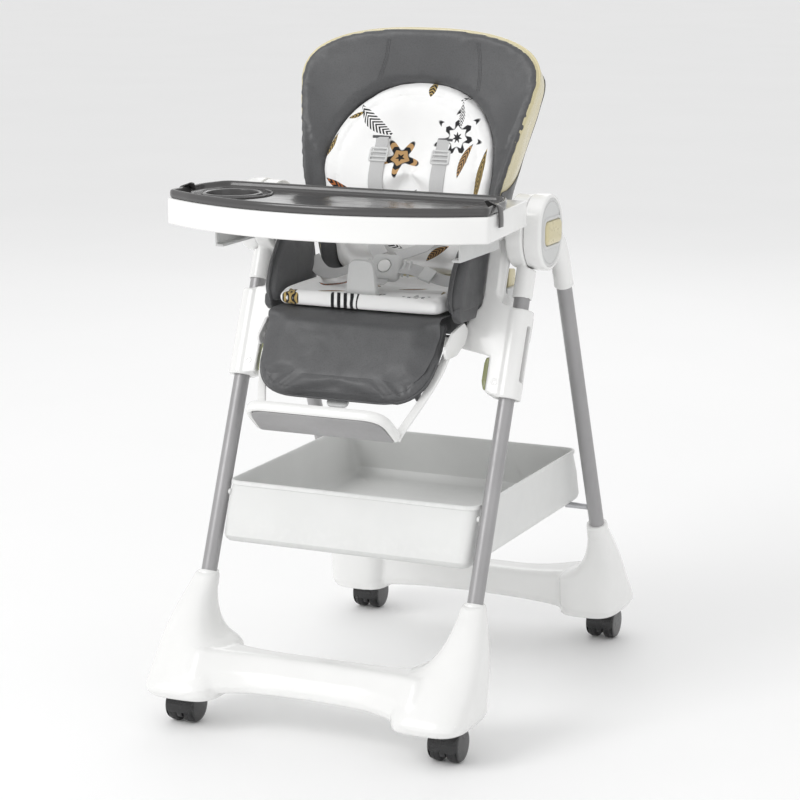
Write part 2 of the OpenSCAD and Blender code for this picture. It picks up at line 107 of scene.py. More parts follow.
def mesh_object(name, points, faces, place=None):
    """An object from points in millimetres, put in place by a matrix in metres."""
    mesh = bpy.data.meshes.new(name)
    mesh.from_pydata([Vector(p) * MM for p in points], [], faces)
    bm = bmesh.new()
    bm.from_mesh(mesh)
    tidy(bm)
    bm.to_mesh(mesh)
    bm.free()
    if place is not None:
        mesh.transform(place)
    obj = bpy.data.objects.new(name, mesh)
    scene.collection.objects.link(obj)
    return smooth(obj)


def loft(name, rings, place=None, closed=False):
    """A skin over rings of equally many points. Open ends are closed by fans."""
    n = len(rings[0])
    points = [p for ring in rings for p in ring]
    faces = []
    for k in range(len(rings) if closed else len(rings) - 1):
        a, b = k * n, (k + 1) % len(rings) * n
        faces += [(a + i, a + (i + 1) % n, b + (i + 1) % n, b + i) for i in range(n)]
    if not closed:
        for start in (0, (len(rings) - 1) * n):
            middle = sum((Vector(p) for p in points[start:start + n]), Vector()) / n
            points.append(middle)
            faces += [(start + i, start + (i + 1) % n, len(points) - 1) for i in range(n)]
    return mesh_object(name, points, faces, place)


def prism(name, outline, z0, z1, place=None):
    """A straight solid between two heights."""
    n = len(outline)
    points = [(x, y, z) for z in (z0, z1) for x, y in outline]
    faces = [tuple(range(n)), tuple(range(n, 2 * n))]
    faces += [(i, (i + 1) % n, n + (i + 1) % n, n + i) for i in range(n)]
    return mesh_object(name, points, faces, place)


def modify(obj, kind, **settings):
    """Adds one modifier and applies it."""
    modifier = obj.modifiers.new(kind.title(), kind)
    for key, value in settings.items():
        setattr(modifier, key, value)
    graph = bpy.context.evaluated_depsgraph_get()
    set_mesh(obj, bpy.data.meshes.new_from_object(obj.evaluated_get(graph)))
    return obj


def cut(obj, tool, operation="DIFFERENCE"):
    """Cuts a tool out of obj, or keeps only what is inside it, and deletes the tool."""
    modify(obj, "BOOLEAN", operation=operation, object=tool, solver="EXACT")
    bpy.data.objects.remove(tool)
    return smooth(obj)


def bevel(obj, width, segments=3, angle=30):
    """Rounds the edges sharper than angle degrees, width in millimetres."""
    modify(obj, "BEVEL", width=width * MM, segments=segments, limit_method="ANGLE",
           angle_limit=math.radians(angle), miter_outer="MITER_ARC")
    return smooth(obj)


def fused(obj, voxel, passes):
    """Remeshes obj as one skin, voxel in millimetres, and smooths it until edges and joins are fillets."""
    modify(obj, "REMESH", mode="VOXEL", voxel_size=voxel * MM)
    modify(obj, "SMOOTH", factor=0.5, iterations=passes)
    return smooth(obj, 60)


def joined(name, parts):
    """Joins objects into one piece."""
    bm = bmesh.new()
    for part in parts:
        bm.from_mesh(part.data)
        bpy.data.objects.remove(part)
    mesh = bpy.data.meshes.new(name)
    bm.to_mesh(mesh)
    bm.free()
    obj = bpy.data.objects.new(name, mesh)
    scene.collection.objects.link(obj)
    return smooth(obj)


def cad_copy(node, name):
    """A clean copy of a CAD node's mesh, with its flat faces joined up."""
    bm = bmesh.new()
    bm.from_mesh(frame["nodes"][node].data)
    bmesh.ops.remove_doubles(bm, verts=bm.verts, dist=1e-5)
    bmesh.ops.dissolve_limit(bm, angle_limit=math.radians(1), verts=bm.verts, edges=bm.edges)
    mesh = bpy.data.meshes.new(name)
    bm.to_mesh(mesh)
    bm.free()
    obj = bpy.data.objects.new(name, mesh)
    scene.collection.objects.link(obj)
    return smooth(obj)


def mirrored(obj, name):
    """A copy of obj on the other side of the chair."""
    mesh = obj.data.copy()
    mesh.transform(Matrix.Scale(-1, 4, (1, 0, 0)))
    mesh.flip_normals()
    copy = bpy.data.objects.new(name, mesh)
    scene.collection.objects.link(copy)
    return copy


def both_sides(build, name):
    """A piece on the right, and its mirror image on the left."""
    right = build(name + "_right")
    return {"right": right, "left": mirrored(right, name + "_left")}


def from_cad(node, voxel, passes):
    """A build function for both_sides: a CAD node's copy with rounded edges and joins."""
    return lambda name: fused(cad_copy(node, name), voxel, passes)


def coordinates(obj):
    """The mesh's points as rows of an array."""
    flat = np.empty(len(obj.data.vertices) * 3)
    obj.data.vertices.foreach_get("co", flat)
    return flat.reshape(-1, 3)


def set_coordinates(obj, points):
    obj.data.vertices.foreach_set("co", np.asarray(points, float).ravel())
    obj.data.update()


def inflate(obj, voxel, reach, hold, pressure=4.0):
    """Swells a closed pad as pressed cloth: no point moves further than reach millimetres.
    Points for which hold(x, y, z) is true, in metres, stay where they are."""
    modify(obj, "REMESH", mode="VOXEL", voxel_size=voxel * MM)
    modify(obj, "SMOOTH", factor=0.5, iterations=4)
    start = coordinates(obj)
    cloth = obj.modifiers.new("Cloth", "CLOTH")
    settings = cloth.settings
    settings.use_pressure = True
    settings.uniform_pressure_force = pressure
    settings.effector_weights.gravity = 0
    settings.tension_stiffness = 12
    settings.compression_stiffness = 12
    settings.bending_stiffness = 0.8
    pinned = obj.vertex_groups.new(name="held")
    pinned.add([i for i, p in enumerate(start) if hold(*p)], 1.0, "REPLACE")
    settings.vertex_group_mass = "held"
    cloth.point_cache.frame_start = 1
    cloth.point_cache.frame_end = CLOTH_FRAMES
    for step in range(1, CLOTH_FRAMES + 1):
        scene.frame_set(step)
    graph = bpy.context.evaluated_depsgraph_get()
    set_mesh(obj, bpy.data.meshes.new_from_object(obj.evaluated_get(graph)))
    scene.frame_set(1)
    moved = coordinates(obj) - start
    far = np.linalg.norm(moved, axis=1, keepdims=True)
    set_coordinates(obj, start + moved * np.minimum(1, reach * MM / np.maximum(far, 1e-9)))
    obj.vertex_groups.clear()
    modify(obj, "SUBSURF", levels=1)
    return smooth(obj, 60)


# ---- Outlines and sweeps, in millimetres ----


def arc(cx, cy, r, a0, a1, steps):
    """Points on an arc about (cx, cy), from a0 to a1 degrees."""
    turn = [math.radians(a0 + (a1 - a0) * i / steps) for i in range(steps + 1)]
    return [(cx + r * math.cos(a), cy + r * math.sin(a)) for a in turn]


def rounded(corners, radii, steps=6):
    """A closed outline through corners, each rounded to its radius."""
    radii = radii if hasattr(radii, "__len__") else [radii] * len(corners)
    outline = []
    for i, (corner, r) in enumerate(zip(corners, radii)):
        here = Vector(corner)
        before = (Vector(corners[i - 1]) - here).normalized()
        after = (Vector(corners[(i + 1) % len(corners)]) - here).normalized()
        half = before.angle(after) / 2
        cut = r / math.tan(half)
        for k in range(steps + 1):
            t = k / steps
            outline.append(here + before * cut * (1 - t) ** 2 + after * cut * t ** 2)
    return [tuple(p) for p in outline]


def resampled(outline, count, closed=True):
    """The outline with count points at even spacing."""
    points = np.array(outline + outline[:1] if closed else outline, float)
    run = np.concatenate([[0], np.cumsum(np.linalg.norm(np.diff(points, axis=0), axis=1))])
    stops = np.linspace(0, run[-1], count + 1)[:-1] if closed else np.linspace(0, run[-1], count)
    return [tuple(np.interp(s, run, points[:, k]) for k in range(points.shape[1])) for s in stops]


def inset(outline, depth):
    """A closed outline moved inwards by depth, for smooth outlines that run counter-clockwise."""
    p = np.array(outline, float)
    along = np.roll(p, -1, axis=0) - np.roll(p, 1, axis=0)
    along /= np.maximum(np.linalg.norm(along, axis=1, keepdims=True), 1e-9)
    return [(x - dy * depth, y + dx * depth) for (x, y), (dx, dy) in zip(p, along)]


def oval(half_w, half_h):
    """A tall stadium: round ends of half_w, joined by straight sides."""
    shift = half_h - half_w
    return resampled(arc(0, shift, half_w, 0, 180, 32) + arc(0, -shift, half_w, 180, 360, 32), 96)


def spline(points, count, closed=False):
    """A smooth curve through given points (Catmull-Rom), resampled to count points."""
    p = [np.array(q, float) for q in points]
    last = len(p) if closed else len(p) - 1
    out = []
    for i in range(last):
        a = p[i - 1] if closed or i else 2 * p[0] - p[1]
        b, c = p[i], p[(i + 1) % len(p)]
        d = p[(i + 2) % len(p)] if closed or i + 2 < len(p) else 2 * c - b
        for t in np.linspace(0, 1, 12, endpoint=False):
            out.append(0.5 * (2 * b + (c - a) * t + (2 * a - 5 * b + 4 * c - d) * t ** 2
                              + (3 * b - a - 3 * c + d) * t ** 3))
    if not closed:
        out.append(p[-1])
    return resampled([tuple(q) for q in out], count, closed)


def sweep(name, path, section, place=None, closed=False, side=(0, 1, 0)):
    """Sweeps a section of (across, out) points along a path. side is the direction that out follows."""
    p = np.array(path, float)
    ahead = np.roll(p, -1, axis=0) - np.roll(p, 1, axis=0)
    if not closed:
        ahead[0], ahead[-1] = p[1] - p[0], p[-1] - p[-2]
    rings = []
    for here, t in zip(p, ahead):
        t = t / max(np.linalg.norm(t), 1e-9)
        out = np.array(side, float) - t * np.dot(side, t)
        out /= max(np.linalg.norm(out), 1e-9)
        across = np.cross(t, out)
        rings.append([tuple(here + across * u + out * v) for u, v in section])
    return loft(name, rings, place, closed)


def circle(r, count=12):
    turns = [2 * math.pi * i / count for i in range(count)]
    return [(r * math.cos(turn), r * math.sin(turn)) for turn in turns]


def turned(name, profile, place=None, count=64):
    """A solid of revolution about local Z: profile is a list of (z, r)."""
    rings = [[(x, y, z) for x, y in circle(r, count)] for z, r in profile]
    return loft(name, rings, place)


def at(x, y, z):
    """A place in millimetres as a matrix in metres."""
    return Matrix.Translation(Vector((x, y, z)) * MM)


# ---- Materials ----


def add(tree, kind, outlet=0, **inputs):
    """Adds a node and gives back one output. Inputs are values or sockets, and settings are attributes."""
    node = tree.nodes.new(kind)
    for key, value in inputs.items():
        name = key.replace("_", " ")
        socket = None
        if key.startswith("in") and key[2:].isdigit():
            socket = node.inputs[int(key[2:])]
        elif name in node.inputs:
            socket = node.inputs[name]
        if socket is None:
            setattr(node, key, value)
        elif isinstance(value, bpy.types.NodeSocket):
            tree.links.new(value, socket)
        else:
            socket.default_value = value
    return node.outputs[outlet]


def calc(tree, operation, *values):
    """A Math node."""
    return add(tree, "ShaderNodeMath", operation=operation, **{f"in{i}": v for i, v in enumerate(values)})


def place_of(tree):
    """Rest coordinates of the surface, in metres."""
    return add(tree, "ShaderNodeTexCoord", outlet=3)


def noise(tree, scale, detail=2.0, distortion=0.0):
    """Smooth noise from 0 to 1, with scale features to a metre."""
    return add(tree, "ShaderNodeTexNoise", Vector=place_of(tree), Scale=scale, Detail=detail,
               Distortion=distortion)


def ramp(tree, value, low, high, out_low=0.0, out_high=1.0):
    """Maps value from low..high to out_low..out_high, clamped."""
    return add(tree, "ShaderNodeMapRange", in0=value, in1=low, in2=high, in3=out_low, in4=out_high)


def mix(tree, share, a, b):
    """Mixes two colours."""
    node = tree.nodes.new("ShaderNodeMix")
    node.data_type = "RGBA"
    for socket, value in ((node.inputs[0], share), (node.inputs[6], a), (node.inputs[7], b)):
        if isinstance(value, bpy.types.NodeSocket):
            tree.links.new(value, socket)
        elif socket.type == "RGBA":
            socket.default_value = (*value[:3], 1)
        else:
            socket.default_value = value
    return node.outputs[2]


def bumped(tree, shader, *layers):
    """Stacks bump layers of (height socket, strength, distance in metres) into the shader's normal."""
    normal = None
    for height, strength, distance in layers:
        inputs = {"Height": height, "Strength": strength, "Distance": distance}
        if normal is not None:
            inputs["Normal"] = normal
        normal = add(tree, "ShaderNodeBump", **inputs)
    tree.links.new(normal, shader.inputs["Normal"])


def surface(name, **sockets):
    """A new material and its shader, with constant sockets set on the shader itself."""
    material = bpy.data.materials.new(name)
    material.use_nodes = True
    shader = material.node_tree.nodes["Principled BSDF"]
    for key, value in sockets.items():
        shader.inputs[key.replace("_", " ")].default_value = value
    return material, material.node_tree, shader


def shade(color, factor):
    return tuple(c * factor for c in color)


def moulded(name, color, rough, coat=0.0, texture=0.05, grain=1400, spread=0.06, edge_light=0.5):
    """Moulded plastic: slow tone drift, painted highlights along its convex edges, uneven gloss, and a fine
    spark-eroded skin.
    """
    material, tree, shader = surface(name, Coat_Weight=coat, Coat_Roughness=0.12, Specular_IOR_Level=0.5)
    drift = noise(tree, 14, 3)
    base = mix(tree, ramp(tree, drift, 0.3, 0.7), shade(color, 1 - spread / 2), shade(color, 1 + spread / 2))
    # Painted highlight: convex edges, found by pointiness, are lightened towards a paler colour in patches.
    edges = ramp(tree, add(tree, "ShaderNodeNewGeometry", outlet=7), 0.52, 0.62)
    edge_highlight = calc(tree, "MULTIPLY", edges, ramp(tree, noise(tree, 90, 4), 0.45, 0.75, 0.0, edge_light))
    pale = tuple(min(1.0, c * 1.25 + 0.04) for c in color)
    tree.links.new(mix(tree, edge_highlight, base, pale), shader.inputs["Base Color"])
    gloss = ramp(tree, noise(tree, 60, 5), 0.3, 0.75, rough * 0.8, rough * 1.25)
    tree.links.new(gloss, shader.inputs["Roughness"])
    bumped(tree, shader, (noise(tree, 22, 2), 0.08, 0.0006), (noise(tree, grain, 1), texture, 0.00012))
    return material


def powder_coat(name, color):
    """Satin paint on a steel tube, with a slow drift of tone, uneven gloss and a fine orange peel."""
    material, tree, shader = surface(name, Metallic=0.35, Coat_Weight=0.15, Coat_Roughness=0.25)
    drift = mix(tree, ramp(tree, noise(tree, 9, 3), 0.35, 0.65), shade(color, 0.96), shade(color, 1.05))
    tree.links.new(drift, shader.inputs["Base Color"])
    tree.links.new(ramp(tree, noise(tree, 120, 4), 0.3, 0.7, 0.34, 0.46), shader.inputs["Roughness"])
    bumped(tree, shader, (noise(tree, 650, 2), 0.12, 0.0002))
    return material


def bright_steel(name, color):
    """Plain steel, brushed across."""
    material, tree, shader = surface(name, Metallic=1.0)
    stretched = add(tree, "ShaderNodeMapping", Vector=place_of(tree), Scale=(40, 900, 900))
    brushed = add(tree, "ShaderNodeTexNoise", Vector=stretched, Scale=1.0, Detail=3.0)
    tree.links.new(mix(tree, brushed, shade(color, 0.85), shade(color, 1.1)), shader.inputs["Base Color"])
    tree.links.new(ramp(tree, brushed, 0.2, 0.8, 0.22, 0.42), shader.inputs["Roughness"])
    bumped(tree, shader, (brushed, 0.1, 0.0001))
    return material


def leather(name, color):
    """Dark synthetic leather: pebbled grain with painted shade in its low places, soft creases, a slight change of
    gloss, and painted highlights along its convex edges.
    """
    material, tree, shader = surface(name, Specular_IOR_Level=0.42, Sheen_Weight=0.08, Sheen_Roughness=0.4)
    cells = add(tree, "ShaderNodeTexVoronoi", feature="SMOOTH_F1", Vector=place_of(tree), Scale=620.0)
    creases = noise(tree, 46, 5, 0.8)
    drift = mix(tree, ramp(tree, noise(tree, 11, 3), 0.3, 0.7), shade(color, 0.9), shade(color, 1.12))
    # Painted shade: the grain's low places, the cell edges that the bump sinks, are darkened.
    grain_shade = mix(tree, ramp(tree, cells, 0.35, 0.75, 0.0, 0.35), drift, shade(color, 0.55))
    # Painted highlight: convex edges, found by pointiness, are lightened.
    edges = ramp(tree, add(tree, "ShaderNodeNewGeometry", outlet=7), 0.53, 0.66, 0.0, 0.3)
    tree.links.new(mix(tree, edges, grain_shade, shade(color, 1.8)), shader.inputs["Base Color"])
    tree.links.new(ramp(tree, creases, 0.3, 0.7, 0.36, 0.52), shader.inputs["Roughness"])
    bumped(tree, shader, (creases, 0.16, 0.0016), (cells, -0.32, 0.00035))
    return material


def weave(tree, pitch):
    """Height of a plain weave with that pitch in metres, over and under along the two ways of the cloth."""
    x, y, z = (add(tree, "ShaderNodeSeparateXYZ", outlet=k, Vector=place_of(tree)) for k in range(3))
    turns = 2 * math.pi / pitch
    warp = calc(tree, "SINE", calc(tree, "MULTIPLY", x, turns))
    weft = calc(tree, "SINE", calc(tree, "MULTIPLY", calc(tree, "ADD", y, z), turns))
    return calc(tree, "MULTIPLY_ADD", warp, weft, 1.0)


def webbing(name, color):
    """Woven strap: ribs across the strap and a fine twill."""
    material, tree, shader = surface(name, Sheen_Weight=0.25, Roughness=0.82, Specular_IOR_Level=0.3)
    height = weave(tree, 0.0024)
    # Painted shade: the colour darkens in the weave's low places.
    base = mix(tree, ramp(tree, height, 0.2, 1.6), shade(color, 0.72), shade(color, 1.06))
    soiled = mix(tree, ramp(tree, noise(tree, 35, 3), 0.45, 0.8, 0.0, 0.18), base, shade(color, 0.7))
    tree.links.new(soiled, shader.inputs["Base Color"])
    bumped(tree, shader, (height, 0.5, 0.0003))
    return material


WHITE = (0.86, 0.86, 0.85)
PALE_GREY = (0.64, 0.645, 0.64)
MATERIALS = {
    "white_plastic": moulded("glossy white", WHITE, 0.22, coat=0.35, spread=0.03, edge_light=0.2),
    "light_grey_plastic": moulded("satin pale grey", PALE_GREY, 0.4, texture=0.12, spread=0.04),
    "basket_plastic": moulded("basket grey", (0.74, 0.745, 0.735), 0.45, texture=0.15, spread=0.04),
    "leg_tube": powder_coat("grey powder coat", (0.36, 0.355, 0.36)),
    "steel": bright_steel("plain steel", (0.55, 0.55, 0.57)),
    "cream_plastic": moulded("gold cream", (0.66, 0.59, 0.36), 0.3, coat=0.3, texture=0.0, spread=0.03,
                             edge_light=0.0),
    "olive_plastic": moulded("yellow green", (0.30, 0.32, 0.14), 0.3, coat=0.2),
    "dark_leather": leather("dark leather", (0.092, 0.093, 0.096)),
    "strap_webbing": webbing("grey webbing", (0.62, 0.62, 0.62)),
    "dark_plastic": moulded("dark texture", (0.075, 0.076, 0.08), 0.5, texture=0.25, grain=900),
    "liner_plastic": moulded("dark gloss", (0.062, 0.06, 0.06), 0.2, coat=0.3, texture=0.03),
    "caster_plastic": moulded("black", (0.012, 0.012, 0.013), 0.25, coat=0.2),
    "wheel_rubber": moulded("black tread", (0.014, 0.014, 0.015), 0.42, texture=0.2, grain=700),
}

# ---- Printed fabric: generic striped leaves and stars ----

INK = (0.012, 0.012, 0.014)
TAN = (0.50, 0.30, 0.13)
RUST = (0.42, 0.13, 0.035)
GOLD = (0.46, 0.33, 0.12)
CLOTH = (0.94, 0.94, 0.935)


def motif_group(name, *inputs):
    """A node group for a motif: the group, its inputs, and the way from the motif's centre along U and V."""
    group = bpy.data.node_groups.new(name, "ShaderNodeTree")
    for given in ("U", "V", "Centre U", "Centre V", "Turn", *inputs):
        group.interface.new_socket(given, in_out="INPUT", socket_type="NodeSocketFloat")
    for result in ("Cover", "Stripe"):
        group.interface.new_socket(result, in_out="OUTPUT", socket_type="NodeSocketFloat")
    given = group.nodes.new("NodeGroupInput").outputs
    du = calc(group, "SUBTRACT", given["U"], given["Centre U"])
    dv = calc(group, "SUBTRACT", given["V"], given["Centre V"])
    return group, given, du, dv


def give_out(group, cover, stripe):
    """Ends a motif's group with its coverage and the share of dark stripes in it."""
    out = group.nodes.new("NodeGroupOutput")
    group.links.new(cover, out.inputs["Cover"])
    group.links.new(stripe, out.inputs["Stripe"])
    return group


def leaf_group():
    """Node group: one striped, bent leaf."""
    group, given, du, dv = motif_group("striped leaf", "Length", "Width", "Bend", "Stripes")
    cos, sin = calc(group, "COSINE", given["Turn"]), calc(group, "SINE", given["Turn"])
    along = calc(group, "MULTIPLY_ADD", du, cos, calc(group, "MULTIPLY", dv, sin))
    aside = calc(group, "SUBTRACT", calc(group, "MULTIPLY", dv, cos), calc(group, "MULTIPLY", du, sin))
    a = calc(group, "DIVIDE", along, given["Length"])
    square = calc(group, "MULTIPLY", a, a)
    b = calc(group, "SUBTRACT", calc(group, "DIVIDE", aside, given["Width"]),
             calc(group, "MULTIPLY", square, given["Bend"]))
    half = calc(group, "SUBTRACT", 1.0, square)
    inside = calc(group, "SUBTRACT", half, calc(group, "ABSOLUTE", b))
    cover = ramp(group, inside, -0.03, 0.05)
    slant = calc(group, "MULTIPLY_ADD", calc(group, "ABSOLUTE", b), 0.35, a)
    wave = calc(group, "SINE", calc(group, "MULTIPLY", slant, given["Stripes"]))
    return give_out(group, cover, ramp(group, wave, -0.25, 0.1))


def star_group():
    """Node group: one striped star with wavy points."""
    group, given, du, dv = motif_group("striped star", "Radius", "Points", "Depth")
    square = calc(group, "MULTIPLY_ADD", du, du, calc(group, "MULTIPLY", dv, dv))
    far = calc(group, "DIVIDE", calc(group, "SQRT", square), given["Radius"])
    angle = calc(group, "ADD", calc(group, "ARCTAN2", dv, du), given["Turn"])
    points = calc(group, "COSINE", calc(group, "MULTIPLY", angle, given["Points"]))
    sharp = calc(group, "POWER", calc(group, "MULTIPLY_ADD", points, 0.5, 0.5), 1.8)
    edge = calc(group, "MULTIPLY_ADD", sharp, given["Depth"], calc(group, "SUBTRACT", 1.0, given["Depth"]))
    cover = ramp(group, calc(group, "SUBTRACT", edge, far), -0.03, 0.05)
    half_turn = calc(group, "MULTIPLY", angle, calc(group, "MULTIPLY", given["Points"], 0.5))
    lobes = calc(group, "ABSOLUTE", calc(group, "SINE", half_turn))
    twist = calc(group, "MULTIPLY_ADD", lobes, 1.6, calc(group, "MULTIPLY", far, 15.0))
    return give_out(group, cover, ramp(group, calc(group, "SINE", twist), -0.1, 0.25))


LEAF = leaf_group()
STAR = star_group()


def motif(tree, group, u, v, base, colour, stripe_colour, **values):
    """Prints one motif over base. Lengths are in metres and Turn is in degrees."""
    node = tree.nodes.new("ShaderNodeGroup")
    node.node_tree = group
    tree.links.new(u, node.inputs["U"])
    tree.links.new(v, node.inputs["V"])
    for key, value in values.items():
        scale = math.radians(1) if key == "Turn" else 1
        node.inputs[key.replace("_", " ")].default_value = value * scale
    inked = mix(tree, node.outputs["Stripe"], colour, stripe_colour)
    return mix(tree, node.outputs["Cover"], base, inked)


def leaf(cu, cv, turn, length, width, bend, stripes, colour, stripe_colour=INK):
    """A leaf, with its size in millimetres, and the number of its dark stripes."""
    return (LEAF, colour, stripe_colour, {
        "Centre_U": cu * MM, "Centre_V": cv * MM, "Turn": turn, "Length": length / 2 * MM,
        "Width": width / 2 * MM, "Bend": bend, "Stripes": stripes * math.pi})


def star(cu, cv, turn, radius, points, depth, colour, stripe_colour=INK):
    """A star, with its size in millimetres."""
    return (STAR, colour, stripe_colour, {
        "Centre_U": cu * MM, "Centre_V": cv * MM, "Turn": turn, "Radius": radius * MM,
        "Points": points, "Depth": depth})


def printed(name, u_axis, v_axis, origin, motifs):
    """White padded fabric with motifs, laid out along two directions from an origin in metres."""
    material, tree, shader = surface(name, Sheen_Weight=0.2, Sheen_Roughness=0.5, Specular_IOR_Level=0.25)
    away = add(tree, "ShaderNodeVectorMath", operation="SUBTRACT", in0=place_of(tree), in1=tuple(origin))
    u, v = (add(tree, "ShaderNodeVectorMath", outlet=1, operation="DOT_PRODUCT", in0=away, in1=tuple(axis))
            for axis in (u_axis, v_axis))
    cloth = mix(tree, ramp(tree, noise(tree, 13, 3), 0.3, 0.7), shade(CLOTH, 0.975), shade(CLOTH, 1.02))
    for group, colour, stripe_colour, values in motifs:
        cloth = motif(tree, group, u, v, cloth, colour, stripe_colour, **values)
    tree.links.new(cloth, shader.inputs["Base Color"])
    tree.links.new(ramp(tree, noise(tree, 70, 3), 0.3, 0.7, 0.62, 0.8), shader.inputs["Roughness"])
    bumped(tree, shader, (noise(tree, 38, 4, 0.4), 0.2, 0.0012), (weave(tree, 0.0013), 0.25, 0.00012))
    return material


BACK_MOTIFS = [
    leaf(-72, 266, 142, 76, 22, -0.6, 11, CLOTH),
    leaf(-104, 276, 24, 30, 7, 0.5, 5, GOLD),
    star(-22, 212, 18, 33, 5, 0.62, TAN),
    star(78, 248, 8, 46, 7, 0.64, CLOTH),
    leaf(80, 284, 96, 46, 9, 0.1, 9, CLOTH),
    leaf(96, 212, 70, 60, 12, -0.5, 9, TAN),
    leaf(84, 314, 36, 30, 6, 0.3, 5, CLOTH),
    leaf(20, 324, 84, 26, 13, 0.2, 5, GOLD),
    leaf(-92, 322, 40, 26, 7, 0.2, 4, CLOTH),
    leaf(-136, 226, 70, 44, 9, 0.3, 7, GOLD),
    leaf(-112, 158, -24, 62, 13, 0.5, 6, RUST),
    leaf(-74, 148, 20, 44, 10, 0.4, 6, RUST),
    leaf(128, 188, 80, 92, 11, 0.3, 12, GOLD),
    leaf(112, 120, 74, 44, 11, -0.4, 7, RUST),
    star(-58, 100, 40, 24, 5, 0.6, CLOTH),
    star(60, 118, 12, 26, 6, 0.6, TAN),
    leaf(0, 150, 38, 34, 8, 0.6, 5, GOLD),
    leaf(-30, 74, -24, 48, 11, 0.5, 7, CLOTH),
    leaf(52, 64, 32, 50, 11, -0.5, 8, TAN),
]
SEAT_MOTIFS = [
    leaf(-100, -40, 64, 66, 13, 0.6, 8, RUST),
    leaf(-78, -104, 24, 52, 12, -0.5, 7, TAN),
    star(-114, -172, 20, 15, 5, 0.55, GOLD),
    leaf(-22, -176, 8, 50, 70, 0.1, 4.6, CLOTH),
    leaf(4, -112, 60, 46, 10, -0.5, 6, CLOTH),
    star(72, -112, 12, 26, 6, 0.6, CLOTH),
    leaf(100, -64, 110, 52, 11, 0.5, 7, GOLD),
    leaf(36, -40, 30, 50, 11, 0.4, 7, TAN),
    leaf(104, -158, 40, 30, 8, 0.4, 5, RUST),
    star(-44, -24, 30, 24, 5, 0.6, TAN),
]
BACK_UP = BACK.to_3x3().col[2]
MATERIALS["print_back"] = printed("printed back", (1, 0, 0), BACK_UP, BACK.translation, BACK_MOTIFS)
MATERIALS["print_seat"] = printed("printed seat", (1, 0, 0), (0, 1, 0), (0, 0, 0), SEAT_MOTIFS)


def dress(obj, look, body=None, *nodes):
    """Gives a piece its material and slot, its body, and the CAD nodes that it stands for."""
    obj.data.materials.clear()
    obj.data.materials.append(MATERIALS[look])
    if body is not None:
        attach(obj, body)
    if nodes:
        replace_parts(obj, *nodes)
    return obj


def copied(node, name, look, body, width):
    """A CAD node's copy with rounded edges, as a finished piece."""
    return dress(bevel(cad_copy(node, name), width), look, body, node)


# ---- Bases ----

BASE_BOTTOM, ARCH_HALF, ARCH_RISE = 56, 190, 16


def tower(name, leg_x, leg_y):
    """The right tower of a base that lies towards -Y: rounded slices that spread from socket to foot."""
    neck_z, foot_r = 219, 12
    rings = []
    for z in (56, 56.6, 58.4, 61.4, 66, 72, 80, 90, 100, 110, 120, 129, 136, 144, 153, 163, 174, 186, 199,
              212, 222):
        below = max(neck_z - z, 0)
        drop = min(below / 145, 1)
        foot = foot_r * (1 - math.sqrt(1 - (max(BASE_BOTTOM + foot_r - z, 0) / foot_r) ** 2))
        outer = leg_x + 19 + (253 - leg_x) * math.sin(math.pi / 2 * min(drop * 1.3, 1)) - foot
        inner = leg_x - 83
        if z > 128:
            inner += 64 * math.sqrt(max(1 - (below / 91) ** 2, 0))
        front = leg_y - 19 - (391 + leg_y) * drop ** 0.92 + foot
        rear = np.interp(z, (56, 150, 226), (leg_y - 10, leg_y - 2, leg_y + 21))
        power = 2 / (2.3 + 1.3 * drop)
        cx, cy, a, b = (outer + inner) / 2, (front + rear) / 2, (outer - inner) / 2, (rear - front) / 2
        rings.append([(cx + a * math.copysign(abs(c) ** power, c),
                       cy + b * math.copysign(abs(d) ** power, d), z) for c, d in circle(1, 72)])
    return loft(name, rings)


def bar(name, half):
    """The bar between the towers, arched below and bowed forward into them."""
    rings = []
    for x in np.linspace(-half, half, 41):
        low = BASE_BOTTOM + ARCH_RISE * math.sqrt(max(1 - (x / ARCH_HALF) ** 2, 0))
        blend = min(max((abs(x) - 70) / 110, 0), 1) ** 2
        front, top = -368 - 30 * blend, 124 + 8 * blend
        section = rounded([(front + 2, low), (-286, low), (-286, top - 3), (front + 34, top),
                           (front + 10, 100), (front, 78)], [7, 7, 17, 16, 14, 10], 5)
        rings.append([(x, y, z) for y, z in section])
    return loft(name, rings)


def base(end, leg_x, leg_y):
    """One soft moulding: two towers and the bar, with a step that runs round just above the lower edge."""
    towers = both_sides(lambda name: tower(name, leg_x, leg_y), end + "_tower")
    shell = joined(end + "_base_shell", [towers["left"], towers["right"], bar(end + "_bar", leg_x - 40)])
    if end == "rear":
        shell.data.transform(Matrix.Scale(-1, 4, (0, 1, 0)))
        shell.data.flip_normals()
    fused(shell, 3.0, 12)
    points = coordinates(shell)
    arched = BASE_BOTTOM + ARCH_RISE * np.sqrt(np.clip(1 - (points[:, 0] / (ARCH_HALF * MM)) ** 2, 0, 1))
    skirt = np.clip((arched * MM + 0.0105 - points[:, 2]) / 0.0012, 0, 1)
    normals = np.empty(len(points) * 3)
    shell.data.vertices.foreach_get("normal", normals)
    set_coordinates(shell, points - normals.reshape(-1, 3) * [1, 1, 0] * (skirt * 0.0013)[:, None])
    return shell


def bases():
    """Front and rear base, with lips round the sockets."""
    for end, leg, leg_x, shift, leg_y, top in (("front", FRONT_LEG, 230, 0, -248, -588),
                                               ("rear", REAR_LEG, *REAR_LEG_AT, -256, -594)):
        body = end + "_frame"
        dress(base(end, leg_x, leg_y), "white_plastic", body, end + "_base")
        lip = [(top - down, r) for down, r in ((0, 12.7), (0, 15.4), (1.6, 17.2), (5, 18.0), (16, 18.6),
                                               (26, 18.2))]
        for side, sign in SIDES.items():
            ring = turned(f"socket_lip_{end}_{side}", lip, leg @ at(sign * leg_x, shift, 0))
            dress(ring, "white_plastic", body)


# ---- Hubs ----

HUB_OVAL = oval(50, 60)
HUB_INNER_FACE = 205.4
BUTTON = rounded([(-29, -18.5), (38, -18.5), (38, 18.5), (-29, 18.5)], 12, 10)


